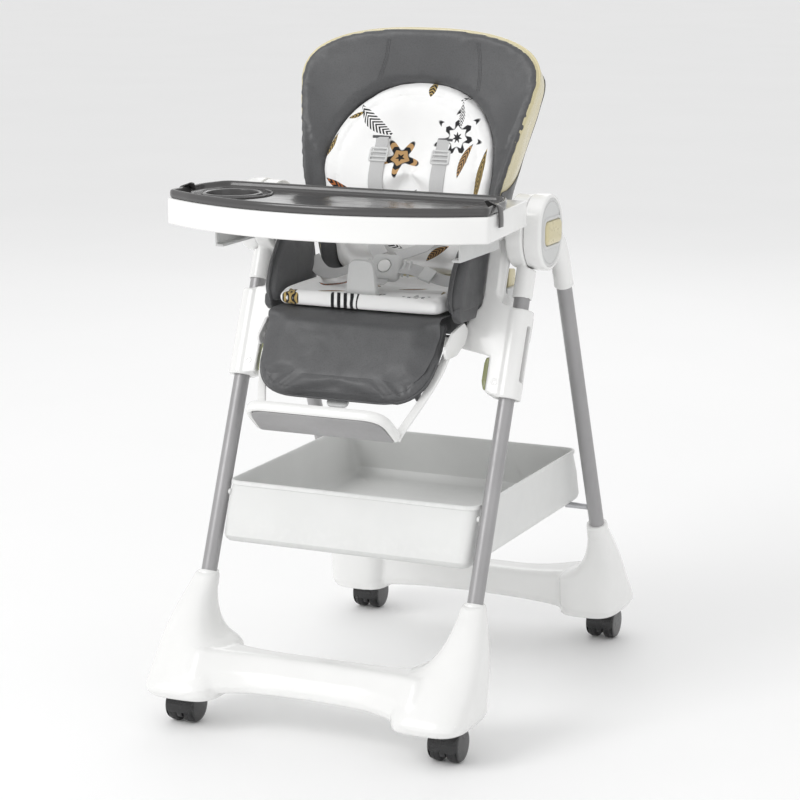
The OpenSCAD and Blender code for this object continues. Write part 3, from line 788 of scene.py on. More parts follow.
def hub_shell(name):
    """Outer half of a hub: a tall oval with a rim, and a sleeve that leaves it at the rear."""
    side = [(234, 1.6), (235, 0.4), (237, 0), (256.5, 0), (259.4, 0.8), (261.2, 2.2), (262, 4.0), (262, 5.4),
            (261.2, 6.2), (259.8, 6.6), (259.6, 12)]
    shell = loft(name, [[(x, y, z) for y, z in inset(HUB_OVAL, d)] for x, d in side],
                 Matrix.Translation(HUB))
    sleeve = [(-127, 12.7, 12.7, 0), (-127, 14.4, 14.4, 0), (-125.6, 15.5, 15.5, 0), (-96, 15.6, 15.8, 0),
              (-76, 15.4, 17.5, -1.5), (-60, 15, 20, -4), (-44, 14.6, 21, -8), (-26, 14.4, 17, -15),
              (-14, 14, 10, -22)]
    leg_x, leg_y = REAR_LEG_AT
    rings = [[(leg_x + rx * c, leg_y + shift + ry * s, z) for c, s in circle(1, 48)]
             for z, rx, ry, shift in sleeve]
    neck = loft(name + "_neck", rings, REAR_LEG)
    return joined(name, [shell, neck])


def hub_face(name):
    """Pale face inside the rim, with a groove round it and a raised frame round the button."""
    frame_of = resampled(BUTTON, 96)
    turn = [math.atan2(z, y) for y, z in frame_of]
    start = int(np.argmin(np.abs(turn)))
    frame_of = frame_of[start:] + frame_of[:start]
    rings = [[(x, y, z) for y, z in inset(HUB_OVAL, d)]
             for x, d in ((259.4, 6.2), (260.6, 6.5), (261.0, 7.2), (261.0, 10.2), (260.2, 10.7),
                          (260.2, 11.6), (261.0, 12.1))]
    rings += [[(x, y, z) for y, z in inset(frame_of, -d)]
              for x, d in ((261.0, 6.4), (262.6, 5.6), (263.3, 4.6), (263.3, 2.6), (262.4, 1.2), (255, 0.9))]
    return loft(name, rings, Matrix.Translation(HUB))


def fold_button(name):
    """Cream button with a wide soft edge."""
    outline = resampled(BUTTON, 96)
    steps = ((254, 0.6), (262.6, 0.2), (264.2, 0.9), (265.2, 2.4), (265.9, 4.6), (266.4, 7.5), (266.7, 10.5))
    return loft(name, [[(x, y, z) for y, z in inset(outline, d)] for x, d in steps], Matrix.Translation(HUB))


def hub_cap(name):
    """Stepped round cap on the inner face of a hub."""
    profile = [(0, 0.1), (0, 14), (-0.8, 15), (-0.8, 17.5), (0.4, 18.5), (0.4, 40), (1.4, 41.5), (1.4, 44),
               (0.2, 45.5), (3, 47)]
    return turned(name, profile, Matrix.Translation(HUB) @ at(HUB_INNER_FACE, 0, 0) @ AXLE)


def hubs():
    """Both halves of each hub, with their caps, faces and fold buttons."""
    pieces = (("hub_shell", hub_shell, "white_plastic", "rear_frame", "hub_outer_"),
              ("hub_case", from_cad("hub_inner_right", 1.8, 7), "white_plastic", "front_frame", "hub_inner_"),
              ("hub_cap", hub_cap, "light_grey_plastic", "front_frame", None),
              ("fold_button", fold_button, "cream_plastic", "fold_button_", "fold_button_"))
    for name, build, look, body, node in pieces:
        for side, piece in both_sides(build, name + "_part").items():
            stands_for = [node + side] if node else []
            dress(piece, look, body + side if body.endswith("_") else body, *stands_for)
    for side, piece in both_sides(hub_face, "hub_face").items():
        dress(piece, "light_grey_plastic", "rear_frame", *(["hub_faces"] if side == "right" else []))


# ---- Seat carriages ----


def carriage_trim(name):
    """Raised panel on the bracket's front, and the ring round its screw."""
    panel = rounded([(175, -30), (190, -30), (193, -100), (177, -112)], [4, 4, 4, 4], 4)
    rings = [[(x, y, z) for x, z in inset(panel, d)] for y, d in ((-19.5, 0), (-20.9, 0.2), (-21.3, 1))]
    plate = loft(name, rings, FRONT_LEG)
    ring = turned(name + "_ring", [(0, 2.4), (-0.8, 2.8), (-0.8, 4.6), (0, 5.2), (1, 5.2)],
                  FRONT_LEG @ at(213, -20, -246) @ Matrix.Rotation(-math.pi / 2, 4, "X"), 32)
    return joined(name, [plate, ring])


def carriages():
    """Carriages on the front legs, their trim and their release paddles."""
    for side, piece in both_sides(from_cad("carriage_right", 1.9, 6), "carriage_shell").items():
        dress(piece, "white_plastic", "seat", "carriage_" + side)
    for side, piece in both_sides(carriage_trim, "carriage_trim").items():
        dress(piece, "white_plastic", "seat")
    for side, piece in both_sides(from_cad("height_paddle_right", 1.1, 5), "height_paddle_grip").items():
        dress(piece, "olive_plastic", "height_paddle_" + side, "height_paddle_" + side)


# ---- Casters ----

CASTER_X, CASTER_Y = 225, 345
TRAIL, WHEEL_R, AXLE_R, STEM_R = 12, 25, 3, 5
WHEEL_AT = at(0, TRAIL, WHEEL_R) @ AXLE


def caster_wheels(name):
    """Two turned wheels on an axle, with a grooved tread and a smooth outer face."""
    profile = [(5, 0.1), (5, 20), (5.6, 22.8), (7, 24.4), (9, 25), (12.7, 25), (13.1, 24.4), (13.9, 24.4),
               (14.3, 25), (18, 25), (20.2, 24.4), (21.4, 22.8), (22, 20), (22.3, 12), (22.3, 0.1)]
    wheel = turned(name, profile, WHEEL_AT)
    other = mirrored(wheel, name + "_other")
    axle = turned(name + "_axle", [(-6, 0.1), (-6, AXLE_R), (6, AXLE_R), (6, 0.1)], WHEEL_AT, 24)
    return joined(name, [wheel, other, axle])


def caster_hood(name):
    """Two round covers set a little above the wheels' centre, joined above, with the swivel's stem."""
    gap = 0.4
    profile = [(0, 26.5), (20, 26.5), (22.6, 26.1), (24.2, 24.8), (24.9, 22.6), (25, 20), (25, 0.1)]
    profile = [(-x, r) for x, r in reversed(profile[1:])] + profile
    hood = turned(name, profile, at(0, 0, 3) @ WHEEL_AT)
    for sign in SIDES.values():
        room = [(sign * x, r) for x, r in ((4.4, 0.1), (4.4, 25.7), (22.9, 25.7), (22.9, 0.1))]
        cut(hood, turned("wheel_room", room, WHEEL_AT))
    room = [(-6, 0.1), (-6, AXLE_R + gap), (6, AXLE_R + gap), (6, 0.1)]
    cut(hood, turned("axle_room", room, WHEEL_AT, 24))
    cut(hood, prism("hood_notch", [(-5, -30), (5, -30), (5, 50), (-5, 50)], -2, 12))
    stem = turned(name + "_stem", [(46, 0.1), (46, 11), (54.5, 11), (54.5, STEM_R), (76, STEM_R), (76, 0.1)],
                  count=32)
    return joined(name, [bevel(hood, 0.5, 2), stem])


def casters():
    """The same wheels and hood at each corner."""
    wheels = caster_wheels("caster_tyres")
    hood = caster_hood("caster_hood")
    for end, y_sign in (("front", -1), ("rear", 1)):
        for side, x_sign in SIDES.items():
            spot = f"{end}_{side}"
            for source, name, look, body in ((wheels, "tyres_", "wheel_rubber", "caster_wheels_"),
                                             (hood, "hood_", "caster_plastic", "caster_")):
                mesh = source.data.copy()
                mesh.transform(at(CASTER_X * x_sign, CASTER_Y * y_sign, 0))
                piece = bpy.data.objects.new(name + spot, mesh)
                scene.collection.objects.link(piece)
                dress(piece, look, body + spot, body + spot)
    bpy.data.objects.remove(wheels)
    bpy.data.objects.remove(hood)


# ---- Basket ----


def basket_ring(z, e):
    """The basket's outline at one height, moved in by e. Its ends lean in above and below the knee."""
    knee, wall_height, lean, foot_lean = 292, 70, 36, 0.2
    inward = lean * ((z - knee) / wall_height) if z > knee else (knee - z) * foot_lean
    side, front, rear = 213 - e, -236 + inward + e, 270 - inward - e
    corners = [(-side, front), (side, front), (side, rear), (-side, rear)]
    return [(x, y, z) for x, y in rounded(corners, max(20 - e, 6), 8)]


def basket():
    """Open moulded tray: rounded foot, thin bright rim, and a stepped floor."""
    outer = [(268, 16), (268.4, 10), (270, 5), (274, 1.5), (280, 0), (320, 0), (355, 0), (356, -0.4),
             (356.6, -2.6), (361, -3.2), (362.4, -2.6), (362.8, -1.4)]
    inner = [(362.4, 0.2), (361, 1.2), (356, 2.4), (320, 2.6), (284, 2.8), (277, 4.5), (272.6, 9),
             (271.4, 16), (271.3, 30), (272.6, 31.5), (272.6, 60)]
    shell = loft("basket_shell", [basket_ring(z, e) for z, e in outer + inner])
    dress(shell, "basket_plastic", "front_frame", "basket")


# ---- Tray ----

TRAY_HALF, TRAY_CORNER, TRAY_NOSE = 268, -290, 82
TRAY_R = (TRAY_HALF ** 2 + TRAY_NOSE ** 2) / (2 * TRAY_NOSE)
TRAY_Y = TRAY_CORNER - TRAY_NOSE + TRAY_R
TRAY_BOTTOM, TRAY_TOP, TRAY_WALL = 783, 823, 3.5
CUP = (-180, -240)


def tray_front(depth):
    """The bowed front of the tray, left to right, moved in by depth."""
    reach = math.asin((TRAY_HALF - depth) / (TRAY_R - depth))
    return [((TRAY_R - depth) * math.sin(reach * t), TRAY_Y - (TRAY_R - depth) * math.cos(reach * t))
            for t in np.linspace(-1, 1, 41)]


def tray_outline(depth=0):
    """Plan of the tray body with two arms that reach back, counter-clockwise, with rounded corners."""
    front = tray_front(depth)
    right = rounded([front[-3], front[-1], (250 - depth, -92 - depth), (172 + depth, -92 - depth),
                     (158 + depth, -152 - depth), (126, -166 - depth), (0, -166 - depth)],
                    [0.01, 10, 9, 12, 26, 20, 0.01], 7)
    left = [(-x, y) for x, y in reversed(right)]
    return front[3:-3] + right[8:-8] + left[8:-8]


def tray_body():
    """White tray frame: a thin-walled moulding, open below, with ribs."""
    body = prism("tray_body_shell", tray_outline(), TRAY_BOTTOM, TRAY_TOP)
    bevel(body, 3.2, 4, 50)
    cut(body, prism("tray_hollow", tray_outline(TRAY_WALL), TRAY_BOTTOM - 3, TRAY_TOP - TRAY_WALL))
    cut(body, prism("tray_cup_hole", [(CUP[0] + x, CUP[1] + y) for x, y in circle(44, 64)], 770, 840))
    dress(body, "white_plastic", "tray", "tray_body", "tray_skirt")
    ribs = []
    for x in (-110, -55, 0, 55, 110, 165):
        front = TRAY_Y - math.sqrt(TRAY_R ** 2 - x ** 2) + 6
        path = [(x, y, 806) for y in np.linspace(front, -171 if abs(x) < 130 else -160, 8)]
        ribs.append(sweep(f"tray_rib_{x}", path, [(-1, -14), (1, -14), (1, 14), (-1, 14)], side=(0, 0, 1)))
    dress(joined("tray_ribs", ribs), "white_plastic", "tray")


def liner_outline():
    """Plan of the liner: the tray's bowed front, round tips and a straight rear edge."""
    front = tray_front(3)
    right = rounded([front[-4], front[-1], (258, -200), (240, -150), (0, -150)], [0.01, 12, 30, 26, 0.01], 8)
    left = [(-x, y) for x, y in reversed(right)]
    return resampled(front[4:-4] + right[9:-9] + left[9:-9], 220)


def sorted_about(outline, middle):
    """The outline's points in order of their angle about a place inside it."""
    return sorted(outline, key=lambda p: math.atan2(p[1] - middle[1], p[0] - middle[0]))


def tray_liner():
    """Glossy dark liner: a rolled rim, a flat floor, and a round cup recess with a raised ring."""
    outline = sorted_about(liner_outline(), CUP)
    turns = [math.atan2(y - CUP[1], x - CUP[0]) for x, y in outline]

    def rim(z, depth):
        return [(x, y, z) for x, y in inset(outline, depth)]

    def ring(z, r):
        return [(CUP[0] + r * math.cos(a), CUP[1] + r * math.sin(a), z) for a in turns]

    rings = [ring(809.4, 30), ring(809.4, 38), ring(810.6, 41), ring(813, 42.4), ring(823.4, 42.6)]
    rings += [rim(z, depth) for z, depth in (
        (823.4, 9), (823.4, 3), (824, 1), (827, 0.2), (831, 0.1), (834.2, 0.7), (835.8, 2.0), (836.3, 3.8),
        (835.6, 5.6), (833.4, 7.2), (830.4, 8.4), (828, 10), (826.6, 12.4), (826, 15.5))]
    rings += [ring(z, r) for z, r in (
        (826, 50), (826.6, 48.6), (829.2, 46.6), (830.6, 44.6), (830.8, 42.6), (829.8, 40.8), (827.5, 40.1),
        (816, 39.8), (813, 39), (811.9, 36.5), (811.8, 30), (811.8, 15))]
    liner = loft("tray_liner_shell", rings)
    dress(liner, "liner_plastic", "tray_liner", "tray_liner", "liner_rim", "liner_cup")
    bead = spline([(-250, -283, 827), (-222, -290, 828), (-186, -296, 828), (-148, -284, 827.6),
                   (-126, -252, 827.2), (-124, -220, 827), (-138, -190, 826.8), (-158, -170, 826.6)], 60)
    line = sweep("tray_liner_bead", bead, circle(2.2, 10), side=(0, 0, 1))
    dress(line, "liner_plastic", "tray_liner")
    for side, sign in SIDES.items():
        path = spline([(sign * 244, -243, 836), (sign * 255, -244, 837), (sign * 264, -245, 834.5),
                       (sign * 267.4, -246, 828), (sign * 268.6, -246, 812), (sign * 268.4, -246, 803)], 24)
        tab = sweep(f"tray_clip_{side}", path, rounded([(-8, -1.2), (8, -1.2), (8, 1.2), (-8, 1.2)], 1.1, 3),
                    side=(sign, 0, 0.2))
        dress(tab, "liner_plastic", "tray_liner")


def tray_fittings():
    """Channels under the tray, its release squeeze, and the armrests that carry it."""
    copied("tray_guides", "tray_channels", "light_grey_plastic", "tray", 0.8)
    copied("tray_release", "tray_squeeze", "light_grey_plastic", "tray_release", 2)
    copied("armrests", "armrest_pair", "white_plastic", "seat", 2.5)


# ---- Leg rest ----


def pad_rings(outline, profile, centre):
    """Rings of a pad: the outline scaled about a centre, at depths along local Y."""
    cx, cz = centre
    return [[(cx + (x - cx) * s, y, cz + (z - cz) * s) for x, z in outline] for s, y in profile]


CALF_OUTLINE = resampled(rounded([(-144, -130), (144, -130), (150, -34), (145, 20), (-145, 20), (-150, -34)],
                                 [78, 78, 60, 8, 8, 60], 10), 160)


def legrest():
    """Padded dark front with a welt near its lower edge, on a moulded panel."""
    profile = [(0.4, -14.2), (0.95, -14.2), (0.992, -15.5), (1, -19), (0.996, -24), (0.982, -28),
               (0.955, -30), (0.9, -31.2), (0.7, -32.4), (0.4, -33), (0.15, -33.2)]
    pad = loft("calf_cushion", pad_rings(CALF_OUTLINE, profile, (0, -54)), CALF)
    inverse = CALF.inverted()
    inflate(pad, 4.5, 5, hold=lambda x, y, z: (inverse @ Vector((x, y, z))).y > -0.0165)
    dress(pad, "dark_leather", "legrest", "calf_pad")
    welt = [(x, -18.4, z) for x, z in inset(CALF_OUTLINE, 1.2)]
    dress(sweep("calf_welt", welt, circle(1.7, 10), CALF, True, side=(0, 1, 0.01)), "dark_leather", "legrest")
    seam = [(x, z) for x, z in inset(CALF_OUTLINE, 11) if z < -60]
    start = max(range(len(seam)), key=lambda i: math.dist(seam[i - 1], seam[i]))
    seam = seam[start:] + seam[:start]
    stitched("calf_stitches", pad, seam, CALF, "legrest")
    panel = cad_copy("calf_panel", "calf_back")
    trim = loft("calf_trim", [[(x, y, z) for x, z in inset(CALF_OUTLINE, 3)] for y in (-40, 30)], CALF)
    dress(bevel(cut(panel, trim, "INTERSECT"), 1.2), "dark_plastic", "legrest", "calf_panel")
    copied("legrest_lever", "legrest_pull", "light_grey_plastic", "legrest_lever", 1.8)
    hangers = [bevel(cad_copy("legrest_mounts", "legrest_mounts_whole"), 1.2)]
    outline = rounded([(-196, 586), (-203, 600), (-172, 624), (-128, 633), (-112, 618), (-124, 600),
                       (-158, 586)], 7, 5)
    hangers += [bevel(prism("legrest_hanger", outline, *sorted((157 * sign, 162 * sign)), ACROSS), 1.2)
                for sign in SIDES.values()]
    dress(joined("legrest_brackets", hangers), "white_plastic", "seat", "legrest_mounts")


def surface_points(target, line, place):
    """Lays local (x, z) points on the front of target, and gives them back in metres with normals."""
    graph = bpy.context.evaluated_depsgraph_get()
    graph.update()
    down = (place.to_3x3() @ Vector((0, 1, 0))).normalized()
    found = []
    for x, z in line:
        origin = place @ (Vector((x, -200, z)) * MM)
        hit, where, normal, _ = target.evaluated_get(graph).ray_cast(origin, down)
        if hit:
            found.append((where, normal))
    return found


def stitched(name, target, line, place, body):
    """A row of stitches along a line on dark leather, each sunk a little at its ends."""
    pitch, length, r = 4.2, 3.0, 0.45
    length_all = sum(math.dist(a, b) for a, b in zip(line, line[1:]))
    spots = resampled(line, max(int(length_all / pitch), 4), closed=False)
    parts = []
    hits = surface_points(target, spots, place)
    for (a, na), (b, _) in zip(hits, hits[1:]):
        way = b - a
        if way.length > pitch * MM * 1.8 or way.length < 1e-5:
            continue
        way = way.normalized() * length * MM
        out = na * r * MM
        path = [a + way * share + out * rise
                for share, rise in ((0, -0.4), (0.2, 0.9), (0.5, 1.2), (0.8, 0.9), (1, -0.4))]
        parts.append(sweep(name + "_s", [tuple(p / MM) for p in path], circle(r, 6), side=tuple(na)))
    dress(joined(name, parts), "dark_leather", body)


def footrest():
    """Foot plate with a thick rolled rim and grip ridges, on two flat arms that spread towards the seat."""
    plate = CALF @ at(0, -2, -177) @ Matrix.Rotation(math.radians(4), 4, "X")
    outline = resampled(rounded([(-121, -78), (121, -78), (121, 0), (-121, 0)], [38, 38, 9, 9], 10), 180)
    steps = [(-2.0, 30), (-2.0, 15), (-3.2, 12.4), (-6.8, 9.6), (-8.4, 6), (-7.4, 2.4), (-4, 0.3), (0, 0),
             (4, 0.3), (7.4, 2.4), (8.4, 6), (7, 9.4), (4, 12), (2.6, 15), (2.6, 30)]
    board = loft("footrest_board", [[(x, y, z) for x, y in inset(outline, d)] for z, d in steps], plate)
    dress(board, "white_plastic", "footrest", "footrest")
    # A grey plate under the board: painted shade, a dark sheet that stands in for the shade on the board's
    # underside.
    outline = rounded([(-109, -68), (109, -68), (114, -3), (-114, -3)], [28, 28, 6, 6], 10)
    dress(bevel(prism("footrest_shade_plate", outline, -9.2, -3, plate), 1), "leg_tube", "footrest")
    ridges = []
    for row in range(5):
        y = -18 - 10 * row
        path = [(x, y, 2.6) for x in np.linspace(-84, 84, 10)]
        ridges.append(sweep(f"footrest_ridge_{row}", path, circle(1.3, 8), plate, side=(0, 0, 1)))
    dress(joined("footrest_ridges", ridges), "white_plastic", "footrest")
    section = [(v, u) for u, v in rounded([(-2.5, -6.5), (2.5, -6.5), (2.5, 6.5), (-2.5, 6.5)], 1.6, 4)]
    for side, sign in SIDES.items():
        route = ((115, -182), (119, -164), (136, -112), (149, -62), (153, -24))
        arm = sweep(f"footrest_arm_{side}", spline([(sign * x, -5, z) for x, z in route], 30), section, CALF)
        dress(arm, "white_plastic", "footrest")


# ---- Backrest ----

BACK_MIDDLE = 190
TURNS = np.linspace(-math.pi, math.pi, 260, endpoint=False)


def reach_of(outline):
    """How far an outline lies from the middle of the back, at each of TURNS."""
    p = np.array(resampled(outline, 1600)) - (0, BACK_MIDDLE)
    turns, far = np.arctan2(p[:, 1], p[:, 0]), np.hypot(p[:, 0], p[:, 1])
    order = np.argsort(turns)
    return np.interp(TURNS, turns[order], far[order], period=2 * math.pi)


def quarter_arch(half, z, rise, power):
    """The right half of an arch of that half-width and rise, squarer than an ellipse."""
    return [(half * math.cos(a) ** power, z + rise * math.sin(a) ** power)
            for a in np.linspace(0, math.pi / 2, 30)]


def back_side():
    """Front edge of the backrest, as x and height along its lean."""
    right = rounded([(0, 14), (146, 14), (157, 90), (169, 160), (201, 300), (207, 335)],
                    [0.01, 24, 30, 60, 60, 0.01], 8)[8:-8]
    half = right + quarter_arch(207, 335, 87, 0.8)[1:]
    return half + [(-x, z) for x, z in reversed(half[1:-1])]


def insert_side():
    """Outline of the pale insert with its arched top."""
    arch = quarter_arch(145, BACK_MIDDLE, 145, 0.9)
    left = [(-x, z) for x, z in reversed(arch[:-1])]
    return arch + left + arc(-107, 46, 22, 180, 270, 8) + arc(107, 46, 22, 270, 360, 8)


def along(heights, marks):
    """A value that runs smoothly through marks of (height, value)."""
    curve = np.array(spline(marks, 120))
    return np.interp(heights, curve[:, 0], curve[:, 1])


EDGE = reach_of(back_side())
INSERT = reach_of(insert_side())
EDGE_Z = EDGE * np.sin(TURNS) + BACK_MIDDLE
INSERT_Z = INSERT * np.sin(TURNS) + BACK_MIDDLE
# Depths along the lean: the border's crest, its bed round the insert, and where the shell starts to narrow
CREST_Y = along(EDGE_Z, [(14, -92), (60, -104), (110, -115), (160, -133), (200, -131), (250, -119),
                         (300, -105), (350, -90), (400, -77), (422, -72)])
BED_Y = along(INSERT_Z, [(24, -76), (60, -86), (110, -97), (160, -109), (200, -110), (260, -91),
                         (300, -76), (335, -64)])
TAPER_Y = along(EDGE_Z, [(14, -80), (110, -90), (170, -98), (250, -84), (300, -76), (335, -74),
                         (365, -76), (400, -69), (422, -64)])
TAPER_POWER = np.interp(EDGE_Z, (330, 380), (1.5, 1.0))
HEM_Y = CREST_Y + 9


def back_ring(reach, y):
    """One ring of points of the back by angle. reach and y are numbers, or arrays over TURNS."""
    reach, y = np.broadcast_to(reach, TURNS.shape), np.broadcast_to(y, TURNS.shape)
    return [(r * math.cos(a), d, r * math.sin(a) + BACK_MIDDLE) for r, d, a in zip(reach, y, TURNS)]


def back_rings(*rows):
    """Rings of the back from (reach, y) pairs."""
    return [back_ring(reach, y) for reach, y in rows]


def back_wall(y):
    """How far the shell's outside lies from the middle at depth y: straight at first, then narrowing."""
    taper = np.clip((y - TAPER_Y) / (2 - TAPER_Y), 0, 1.15)
    return EDGE + 0.8 - np.interp(EDGE_Z, (330, 360), (33, 26)) * taper ** TAPER_POWER


def back_border():
    """Dark padded border that wraps forward at the sides, with its hem round the shell's edge."""
    rings = back_rings((EDGE - 14, -33), (EDGE - 6, HEM_Y + 1), (EDGE - 1.6, HEM_Y), (EDGE + 0.2, HEM_Y - 1),
                       (EDGE + 0.5, HEM_Y - 3), (EDGE + 0.4, CREST_Y + 3.4), (EDGE - 1, CREST_Y + 1),
                       (EDGE - 4, CREST_Y - 0.4), (EDGE - 7.5, CREST_Y - 0.6))
    for share in (0.2, 0.4, 0.6, 0.8):
        rings.append(back_ring(EDGE - 7.5 + (INSERT + 13.5 - EDGE) * share,
                               CREST_Y + (BED_Y - CREST_Y) * share ** 0.9))
    rings += back_rings((INSERT + 6, BED_Y), (INSERT + 2.6, BED_Y + 1.2), (INSERT + 0.8, BED_Y + 4),
                        (INSERT + 0.3, BED_Y + 9), (INSERT + 0.3, -50))
    border = loft("back_border", rings, BACK)
    local = BACK.inverted()
    inflate(border, 4.4, 2.4, lambda x, y, z: (local @ Vector((x, y, z))).y > -0.058, pressure=3.0)
    dress(border, "dark_leather", "backrest", "back_cover")
    for number, (top, bottom) in enumerate((((-60, 402), (-76, 334)), ((97, 400), (101, 322)))):
        line = spline([top, ((top[0] + bottom[0]) / 2 + 3, (top[1] + bottom[1]) / 2), bottom], 30)
        for side, shift in (("a", -2.6), ("b", 2.6)):
            beside = [(x + shift, z) for x, z in line]
            stitched(f"back_seam_{number}_{side}", border, beside, BACK, "backrest")
        hits = surface_points(border, line, BACK)
        path = [tuple((where - normal * 0.00025) / MM) for where, normal in hits]
        crease = sweep(f"back_seam_{number}", path, circle(0.55, 8), side=tuple(hits[0][1]))
        dress(crease, "dark_plastic", "backrest")


def back_insert():
    """Printed padded insert: a rolled rim, a sewn valley and a broad pillow inside it."""
    middle = along(INSERT_Z, [(24, -80), (110, -96), (160, -98), (243, -88), (335, -66)])
    spots = ((1.0, 1, 6), (1.0, 1, 2), (0.985, 1, -3), (0.955, 0.97, -6.5), (0.92, 0.9, -7),
             (0.89, 0.82, -4.5), (0.872, 0.76, 0), (0.862, 0.74, 2.2), (0.852, 0.71, 0), (0.83, 0.62, -5),
             (0.79, 0.5, -8.5), (0.72, 0.33, -9.5), (0.62, 0.17, -9), (0.5, 0.06, -8), (0.36, 0, -7.2),
             (0.22, 0, -7), (0.08, 0, -7))
    rings = back_rings((INSERT * 0.95, -51), (INSERT - 0.6, -52))
    rings += [back_ring(INSERT * scale - 0.6, middle + (BED_Y - middle) * lean + rise)
              for scale, lean, rise in spots]
    pad = loft("back_insert_pad", rings, BACK)
    local = BACK.inverted()
    inflate(pad, 4.2, 4, lambda x, y, z: (local @ Vector((x, y, z))).y > -0.057)
    dress(pad, "print_back", "backrest", "back_insert")
    return pad


def back_shell():
    """Cream shell that shows as a thin lip over the top and a crescent at each side."""
    start = HEM_Y - 4
    groove = np.clip((EDGE_Z - 215) / 60, 0, 1) * np.clip((352 - EDGE_Z) / 30, 0, 1) * 5.5
    lip = np.clip((EDGE_Z - 320) / 30, 0, 1) * np.clip((416 - EDGE_Z) / 30, 0, 1) * 1.6
    rings = back_rings((back_wall(-2) - 12, -34), (EDGE - 5, start), (EDGE - 2.6, start),
                       (EDGE - 1.4, start + 2), (EDGE - 0.6, HEM_Y + 0.2), (EDGE + 0.3 + lip, HEM_Y + 0.9),
                       (EDGE + 0.8 + lip, HEM_Y + 2.4), (EDGE + 0.6 + lip * 0.6, HEM_Y + 4.6))
    for share in (0.14, 0.24, 0.34, 0.44, 0.54, 0.64, 0.74, 0.84, 0.92, 1):
        y = HEM_Y + 4.6 + (-2 - HEM_Y - 4.6) * share
        dip = groove * math.sin(math.pi * min(max((share - 0.08) / 0.6, 0), 1)) ** 2
        rings.append(back_ring(back_wall(y) - dip, y))
    rings += back_rings((back_wall(-2) - 6, 2), (back_wall(-2) - 20, 4))
    shell = loft("back_shell", rings, BACK)
    lug = rounded([(-14, -14), (14, -14), (14, 44), (-14, 44)], 9, 6)
    lugs = [bevel(prism(f"back_lug_{sign}", lug, 142.5 * sign, 149.5 * sign, BACK @ ACROSS), 1.2)
            for sign in SIDES.values()]
    dress(joined("back_shell_whole", [shell] + lugs), "cream_plastic", "backrest", "backrest_shell")


def back_wrap():
    """Dark cover behind, which comes forward round the lower sides as far as the border's hem."""
    hem = along(EDGE_Z, [(14, 0), (156, 0), (166, 0.12), (180, 0.35), (200, 0.7), (225, 0.95), (260, 1.0),
                         (422, 1.0)])
    front = HEM_Y + 0.4 + (-3 - HEM_Y - 0.4) * np.clip(hem, 0, 1)
    rings = back_rings((back_wall(-2) - 8, -8), (back_wall(front) - 3, front),
                       (back_wall(front) + 0.4, front), (back_wall(front + 1) + 1.9, front + 0.8))
    for share in (0.08, 0.2, 0.35, 0.5, 0.65, 0.8, 1):
        y = front + (1 - front) * share
        rings.append(back_ring(back_wall(y) + 2, y))
    last = back_wall(1)
    rings += back_rings((last - 1, 5), (last - 6, 9.5), (last - 16, 12.6), (last - 34, 14.2),
                        (last * 0.55, 15.4), (last * 0.25, 16))
    dress(loft("back_wrap", rings, BACK), "dark_leather", "backrest", "back_rear_cover")
    piping = back_ring(last - 12, 12.4)[::2]
    dress(sweep("back_piping", piping, circle(1.6, 10), BACK, True), "dark_leather", "backrest")


def back_hardware():
    """Hinge pins, and the recline grip behind the back."""
    copied("back_hinge_pins", "recline_pins", "steel", "backrest", 0.6)
    outline = resampled(rounded([(-45, 286), (45, 286), (45, 312), (-45, 312)], 11, 8), 96)
    profile = [(0.9, 14.5), (0.97, 14.5), (1, 16.5), (1, 20), (0.97, 22.4), (0.9, 23.6), (0.7, 24),
               (0.5, 22.6), (0.2, 22)]
    grip = loft("recline_grip", pad_rings(outline, profile, (0, 299)), BACK)
    dress(grip, "light_grey_plastic", "recline_lever", "recline_lever")


# ---- Seat ----


def seat_base():
    """Dark cushion under the insert."""
    outline = resampled(rounded([(-147, -114), (147, -114), (147, 56), (-147, 56)], [26, 26, 12, 12], 8), 180)
    profile = [(0.5, 612), (0.96, 612), (0.99, 614), (1, 619), (1, 632), (0.985, 638), (0.95, 640.6),
               (0.85, 641.6), (0.5, 642), (0.2, 642)]
    middle = -29
    rings = [[(x * s, middle + (y - middle) * s, z) for x, y in outline] for s, z in profile]
    cushion = loft("seat_base_cushion", rings)
    dress(cushion, "dark_leather", "seat", "seat_cover")


def wing(name):
    """Raised side wing: a thick padded panel with a full front edge."""
    outline = resampled(rounded([(-76, 630), (-80, 648.8), (-160, 648.8), (-168, 674), (-152, 712),
                                 (-120, 750), (-62, 763), (-24, 756), (-17, 700), (-17, 630)],
                                [8, 4, 12, 30, 60, 46, 24, 10, 20, 8], 6), 190)
    spots = ((0.3, 143.4), (0.8, 143), (0.93, 144.2), (0.985, 147.5), (1, 152), (1, 159), (0.985, 163.5),
             (0.95, 166.6), (0.88, 168), (0.3, 168.2))
    rings = [[(x, -62 + (y + 62) * s, 692 + (z - 692) * s) for y, z in outline] for s, x in spots]
    panel = loft(name, rings)
    inflate(panel, 4.2, 4.5, hold=lambda x, y, z: x > 0.1668 or z < 0.6505)
    return panel


def seat_wings():
    """Both wings, each with a band below it and a welt along its front and top."""
    for side, panel in both_sides(wing, "seat_wing").items():
        dress(panel, "dark_leather", "seat")
    skirt = rounded([(-152, 635), (-164, 645), (-162, 662), (-84, 662), (-84, 635)], [12, 10, 6, 4, 8], 6)
    for side, sign in SIDES.items():
        band = prism("seat_skirt_" + side, skirt, *sorted((154 * sign, 167 * sign)), ACROSS)
        dress(bevel(band, 3, 4), "dark_leather", "seat")
        route = ((-163, 652), (-169.4, 674), (-154, 714), (-122, 750), (-90, 760), (-62, 765), (-30, 761))
        edge = spline([(sign * 156, y, z) for y, z in route], 70)
        welt = sweep(f"wing_welt_{side}", edge, circle(1.7, 10), side=(sign, 0, 0))
        dress(welt, "dark_leather", "seat")


